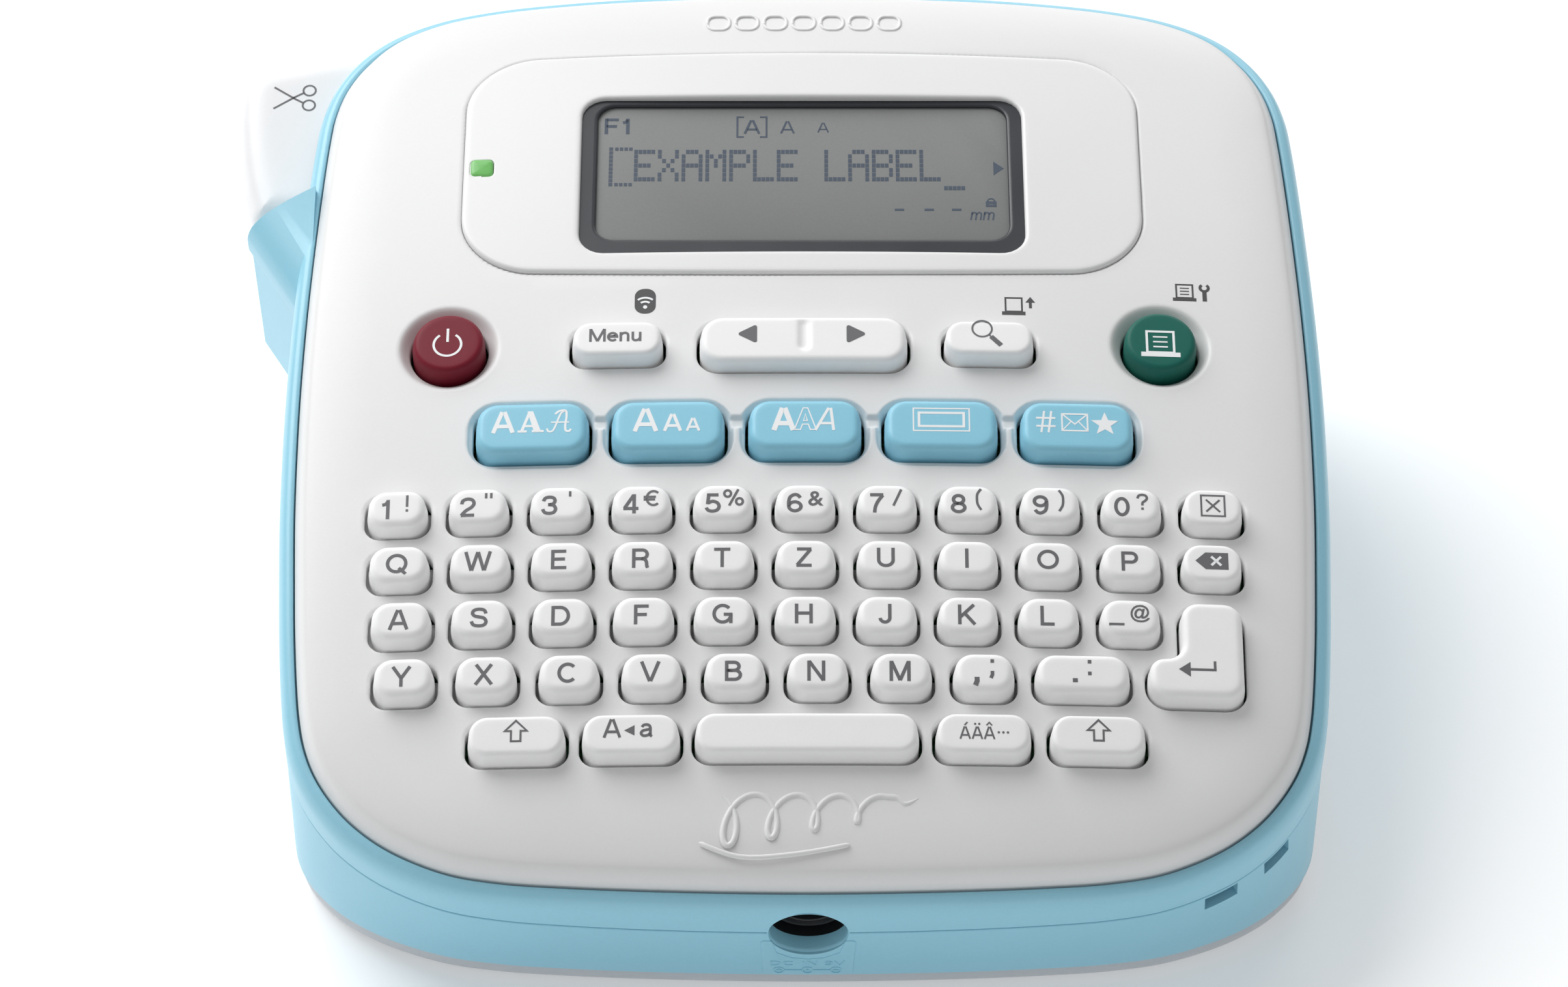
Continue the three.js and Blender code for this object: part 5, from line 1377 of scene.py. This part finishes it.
deck = Marks(on_cover, -0.08, 0.025)
deck.polygon(round_poly([(-24.1, 30.6), (-21.1, 30.6), (-21.1, 35.0), (-24.1, 35.0)], 1.35, 9))  # badge of a wireless link
deck.box(28.42, 31.0, 31.0, 33.65, 0.26)  # a label and an upward arrow
deck.polygon([(28.02, 30.5), (31.35, 30.5), (31.35, 31.12), (28.02, 31.12)])
deck.stroke([(32.08, 31.75), (32.08, 33.0)], 0.42)
deck.polygon([(31.38, 32.75), (32.78, 32.75), (32.08, 33.75)])
deck.box(52.85, 55.45, 34.2, 36.8, 0.26)  # a page and a spanner
deck.polygon([(52.45, 33.75), (55.8, 33.75), (55.8, 34.32), (52.45, 34.32)])
for q in (34.95, 35.5, 36.05):
    deck.stroke([(53.5, q), (54.8, q)], 0.17)
deck.stroke([(57.0, 33.8), (57.0, 35.7)], 0.62)
deck.arc(57.0, 36.2, 0.6, 125, 415, 0.42, 16)
deck.object("deck_marks", M["ink_dark"], "housing")
deck = Marks(on_cover, -0.02, 0.05)
deck.disc(-22.6, 31.75, 0.3, 16)
for r_ in (0.95, 1.65):
    deck.arc(-22.6, 31.75, r_, 50, 130, 0.3, 14)
deck.object("deck_badge_waves", M["ink_white"], "housing")


def relief(shape, pts, width, height, place=None, taper=True):
    """A soft moulded line on the cover, rounded across and fading at its ends."""
    P = np.asarray(pts, float)
    P = P[np.r_[True, np.linalg.norm(np.diff(P, axis=0), axis=1) > 1e-6]]
    n = len(P)
    d = np.gradient(P, axis=0)
    d /= np.linalg.norm(d, axis=1, keepdims=True)
    nr = np.stack([-d[:, 1], d[:, 0]], -1)
    t = np.linspace(0, 1, n)
    k = np.clip(np.minimum(t, 1 - t) / 0.06, 0.05, 1) ** 0.5 if taper else np.ones(n)
    prof = [(-0.5, -0.25), (-0.44, 0.3), (-0.32, 0.68), (-0.16, 0.93), (0, 1.0), (0.16, 0.93), (0.32, 0.68), (0.44, 0.3), (0.5, -0.25)]
    rows = []
    for a, h in prof:
        Q = P + nr * (a * width * k)[:, None]
        rows.append((place or on_cover)(Q, 0.0) + np.array([0, -ST, CT]) * (h * height * k)[:, None] / 1000)
    V = np.concatenate(rows)
    F = []
    for r in range(len(prof) - 1):
        for i in range(n - 1):
            F.append([r * n + i, r * n + i + 1, (r + 1) * n + i + 1, (r + 1) * n + i])
    return shape.add(V, F)


# Moulded ornaments: a looping flourish at the front and a strip of rings at the back
orn = Shape()
t = np.linspace(0, 1, 220)
fx = -12.6 + 23.0 * t + 2.3 * np.sin(8 * math.pi * t + 0.6) * (1 - 0.55 * t)
fv = -49.6 + 2.0 * t + (3.9 - 2.3 * t) * np.cos(8 * math.pi * t + 0.4)
curl = np.stack([fx, fv], -1)
tail = soft(curl[-1], curl[-1] + (1.4, -0.1), (13.4, -47.1), (15.2, -46.3))
relief(orn, resample(np.concatenate([curl, tail[1:]]), 320, False), 0.85, 0.3)
relief(orn, soft((-14.4, -52.6), (-9.0, -54.6), (-1.0, -54.2), (6.0, -52.9)), 0.7, 0.24)
for i in range(7):
    ring_ = rounded_rect(-12.6 + 4.2 * i, 86.6, 3.3, 2.9, 1.2, 0.22)
    relief(orn, np.concatenate([ring_, ring_[:2]]), 0.55, 0.2, taper=False)
orn.object("moulded_ornament", M["cover"], "housing", 60, (), "white_shell")

# ------------------------------------------------------------------ cutter lever
LEVER = [(-62.2, 90.6), (-72.0, 88.8), (-80.6, 86.9), (-83.0, 85.4), (-84.0, 83.0), (-84.3, 80.0), (-84.2, 76.0), (-83.6, 70.4), (-82.6, 64.6), (-81.3, 59.6), (-80.6, 59.0), (-69, 59.0), (-59.0, 62.5), (-59.0, 86.0), (-60.2, 90.0)]
TOPN, LH = -17.5, 9.0
lever_line = ccw(resample(round_poly(LEVER, 1.4, 5), 200))
sm = lever_line.copy()
for _ in range(6):
    sm = (np.roll(sm, 1, 0) + 2 * sm + np.roll(sm, -1, 0)) / 4
lever_line = sm
LN = normals2(lever_line)
for _ in range(8):
    LN = (np.roll(LN, 1, 0) + 2 * LN + np.roll(LN, -1, 0)) / 4
LN /= np.linalg.norm(LN, axis=1, keepdims=True)
at = lambda g, n: deck_to_world(cols(lever_line[:, 0] + LN[:, 0] * g, lever_line[:, 1] + LN[:, 1] * g, n))
prof = [(-4.2, 0.0), (-3.4, -0.05), (-2.6, -0.2), (-1.9, -0.48), (-1.3, -0.9), (-0.8, -1.45), (-0.4, -2.1), (-0.14, -2.85), (0, -3.7), (0, -6.5), (-0.02, -8.7), (-0.15, -8.93), (-0.4, -9.0), (-1.9, -9.0), (-2.0, -8.8), (-2.4, -4.0), (-4.4, -2.2)]
c0, c1 = deck_to_world((-72, 75, TOPN)), deck_to_world((-72, 75, TOPN - 2.2))
LV = ccw(lever_line)


def lever_top(P):
    d = np.maximum(-sdf(P, LV), 0)
    return TOPN - np.interp(d, [0, 0.14, 0.4, 0.8, 1.3, 1.9, 2.6, 3.4, 4.2], [3.7, 2.85, 2.1, 1.45, 0.9, 0.48, 0.2, 0.05, 0])


def lever_under(P):
    d = np.maximum(-sdf(P, LV), 0)
    return TOPN - np.interp(d, [0, 1.9, 2.4, 4.4], [9.0, 9.0, 4.0, 2.2])


inner = []
for g in (0.06, 0.14, 0.26, 0.4, 0.6, 0.8, 1.05, 1.3, 1.6, 1.9, 2.15, 2.4, 2.9, 3.4, 4.2):
    Q = offset(LV, -g)
    inner.append(Q[-sdf(Q, LV) > g * 0.97])
Q = grid(LV.min(0), LV.max(0), 1.5)
inner.append(Q[-sdf(Q, LV) > 4.8])
inner = np.concatenate(inner)
inner = inner[np.unique(np.round(inner / 0.05).astype(int), axis=0, return_index=True)[1]]
lev = Shape()
plate(lev, LV, [], inner, lever_top, lever_under)
lever_ob = lev.object("cutter_lever_shell", M["lever"], "cutter_lever", 40, ["cutter_lever"], "white_shell")
arm = Shape()
prism(arm, [(-61, 70), (-49, 70), (-49, 73), (-61, 73)], -24.4, -19.6)
lever_ob = boolean(lever_ob, arm, "UNION")
arm = Shape()
prism(arm, [(-61, 81), (-49, 81), (-49, 84), (-61, 84)], -24.4, -19.6)
lever_ob = boolean(lever_ob, arm, "UNION")
lever_ob = boolean(lever_ob, rod(Shape(), (-47.5, 0, -22.0), "v", 3.2, 70, 84, 40), "UNION")
lever_ob = boolean(lever_ob, rod(Shape(), (-47.5, 0, -22.0), "v", 1.6, 69, 85, 40))
lever_ob = boolean(lever_ob, block(-76, -60.2, 58, 69, -28, TOPN - 4.1))
dress(lever_ob, M["lever"], "cutter_lever", 40)


def on_lever(P, h):
    P = np.asarray(P, float)
    return deck_to_world(cols(P[:, 0], P[:, 1], TOPN + h))


# Scissors: two blades that cross at a pivot, and two rings
sc = Marks(on_lever, -0.08, 0.03)
px_, pv_ = -76.0, 80.4
for sgn in (1, -1):
    sc.stroke([(px_ - 2.9, pv_ + sgn * 1.95), (px_ + 0.2, pv_ - sgn * 0.15), (px_ + 1.55, pv_ - sgn * 0.95)], 0.3)
    sc.arc(px_ + 2.35, pv_ - sgn * 1.35, 0.92, 0, 360, 0.28, 28)
sc.disc(px_, pv_, 0.24, 12)
sc.object("cutter_mark", M["ink"], "cutter_lever")

# ------------------------------------------------------------------ power socket
def lathe_v(shape, profile, seg=56):
    """A profile of (radius, v) turned about the socket's axis along v."""
    t = np.arange(seg) / seg * 2 * math.pi
    rings = [deck_to_world(cols(JX + r * np.cos(t), v, JN + r * np.sin(t))) for r, v in profile]
    return shape.band(rings, wrap=True)


tunnel = Shape()
lathe_v(tunnel, [(5.28, -57.9), (5.28, -59.7), (5.34, -60.0), (5.46, -60.18), (5.6, -60.2), (5.6, -58.4), (6.4, -58.4), (6.4, -57.9)])
tunnel.object("socket_tunnel", M["blue"], "housing", 40, (), "blue_shell")
well = Shape()
lathe_v(well, [(5.3, -50.4), (5.3, -57.8), (6.4, -57.8), (6.4, -50.4)])
well.object("socket_well", M["black"], "housing", 40)
FT = deck_to_world((0, -60.28, -16.1)) * 1000
FN = np.array([0, -1.0, -math.tan(TILT) * 0.8]) / math.hypot(1, math.tan(TILT) * 0.8)


def on_front(P, h):
    """Points given as deck x and table height, h proud of the lower case's front wall."""
    P = np.asarray(P, float)
    drop = FT[2] - P[:, 1]
    bow = 0.4 * (P[:, 0] / 19.2) ** 2
    Q = np.stack([P[:, 0] + SIDE, FT[1] + drop * math.tan(TILT) * 0.8 + bow, P[:, 1]], -1)
    return (Q + FN * h) / 1000


tab_loop = round_poly([(-5.8, 4.25), (6.5, 4.25), (6.9, 12.6), (5.4, 12.6), (4.7, 9.6), (2.6, 8.35), (0.4, 8.0), (-1.8, 8.35), (-3.9, 9.6), (-4.6, 12.6), (-6.1, 12.6)], 0.5, 5)
tab = Marks(on_front, -0.3, 0.0)
tl = ccw(tab_loop)
tn = normals2(tl)
tab.s.band([on_front(tl, -0.3), on_front(tl, 0.02), on_front(tl - tn * 0.04, 0.07), on_front(tl - tn * 0.12, 0.1)], cap_first=True, cap_last=True)
tab.object("socket_tab", M["blue"], "housing", "blue_shell")
tm = Marks(on_front, 0.02, 0.17)
write(tm, "DC IN 9V", 0.3, 6.5, 1.15, 0.14, 1.55, gap=0.12)
for cx, k in ((-3.6, "+"), (0.3, "."), (4.2, "-")):
    tm.arc(cx, 5.3, 0.72, 0 if k != "." else 40, 360 if k != "." else 320, 0.14, 22)
    if k != ".":
        tm.stroke([(cx - 0.36, 5.3), (cx + 0.36, 5.3)], 0.14)
    if k == "+":
        tm.stroke([(cx, 4.94), (cx, 5.66)], 0.14)
    if k == ".":
        tm.disc(cx, 5.3, 0.16, 10)
tm.stroke([(-2.85, 5.3), (-0.45, 5.3)], 0.12)
tm.stroke([(1.05, 5.3), (3.45, 5.3)], 0.12)
tm.object("socket_marks", M["blue"], "housing", "blue_shell")

jack = Shape()
lathe_v(jack, [(3.2, -47.6), (3.2, -56.1), (3.28, -56.4), (3.5, -56.5), (3.6, -56.2), (4.3, -56.2), (4.45, -56.5), (4.7, -56.6), (4.92, -56.45), (5.0, -56.2), (5.0, -46.6), (0.02, -46.6), (0.02, -47.6)])
jack.object("dc_jack_body", M["black"], "housing", 40, ["dc_jack"], "black_plastic")
pin = Shape()
lathe_v(pin, [(0.02, -55.8), (0.35, -55.75), (0.62, -55.5), (0.78, -55.1), (0.8, -54.6), (0.8, -47.7), (0.02, -47.7)])
pin.object("dc_jack_pin", M["steel"], "housing", 40, (), "steel")

# ------------------------------------------------------------------ camera, light and floor
cam_data = bpy.data.cameras.new("camera")
cam = bpy.data.objects.new("camera", cam_data)
bpy.context.scene.collection.objects.link(cam)
EL = math.radians(40)
target = Vector((0.00234, -0.02117, 0.0483))
cam.location = target + 0.774 * Vector((0, -math.cos(EL), math.sin(EL)))
cam.rotation_euler = (math.radians(90) - EL, 0, 0)
cam_data.lens = 128.09
cam_data.sensor_width = 36.0
cam_data.sensor_fit = "HORIZONTAL"
cam_data.clip_start, cam_data.clip_end = 0.01, 20
bpy.context.scene.camera = cam


def area(name, place, aim, size, power, colour=(1, 1, 1)):
    d = bpy.data.lights.new(name, "AREA")
    d.shape, d.size, d.energy, d.color = "DISK", size, power, colour
    o = bpy.data.objects.new(name, d)
    bpy.context.scene.collection.objects.link(o)
    o.location = place
    o.rotation_euler = (Vector(aim) - Vector(place)).to_track_quat("-Z", "Y").to_euler()
    return o


area("key_light", (-0.62, 0.62, 0.98), (0, 0, 0.04), 1.1, 15.0)
area("fill_light", (-0.9, -0.9, 0.75), (0, 0, 0.03), 1.2, 0.8)
area("back_light", (0.3, 1.1, 0.7), (0, 0, 0.04), 0.9, 3.2)
w = bpy.data.worlds.new("studio")
w.use_nodes = True
w.node_tree.nodes["Background"].inputs["Color"].default_value = (1, 1, 1, 1)
w.node_tree.nodes["Background"].inputs["Strength"].default_value = 0.38
bpy.context.scene.world = w
bpy.context.scene.view_settings.view_transform = "Standard"
bpy.context.scene.view_settings.look = "None"

me = bpy.data.meshes.new("floor")
R = 3.0
me.from_pydata([(-R, -R, 0), (R, -R, 0), (R, R, 0), (-R, R, 0)], [], [(0, 1, 2, 3)])
floor = bpy.data.objects.new("floor", me)
bpy.context.scene.collection.objects.link(floor)
me.materials.append(finish_of("floor_pale", rgb(246, 247, 248), 0.7, spread=0.004, grain=0.6, bump=0.0, coarse=400))
floor_shader = next(n for n in me.materials[0].node_tree.nodes if n.type == "BSDF_PRINCIPLED")
floor_shader.inputs["Emission Color"].default_value = (1, 1, 1, 1)
floor_shader.inputs["Emission Strength"].default_value = 0.22
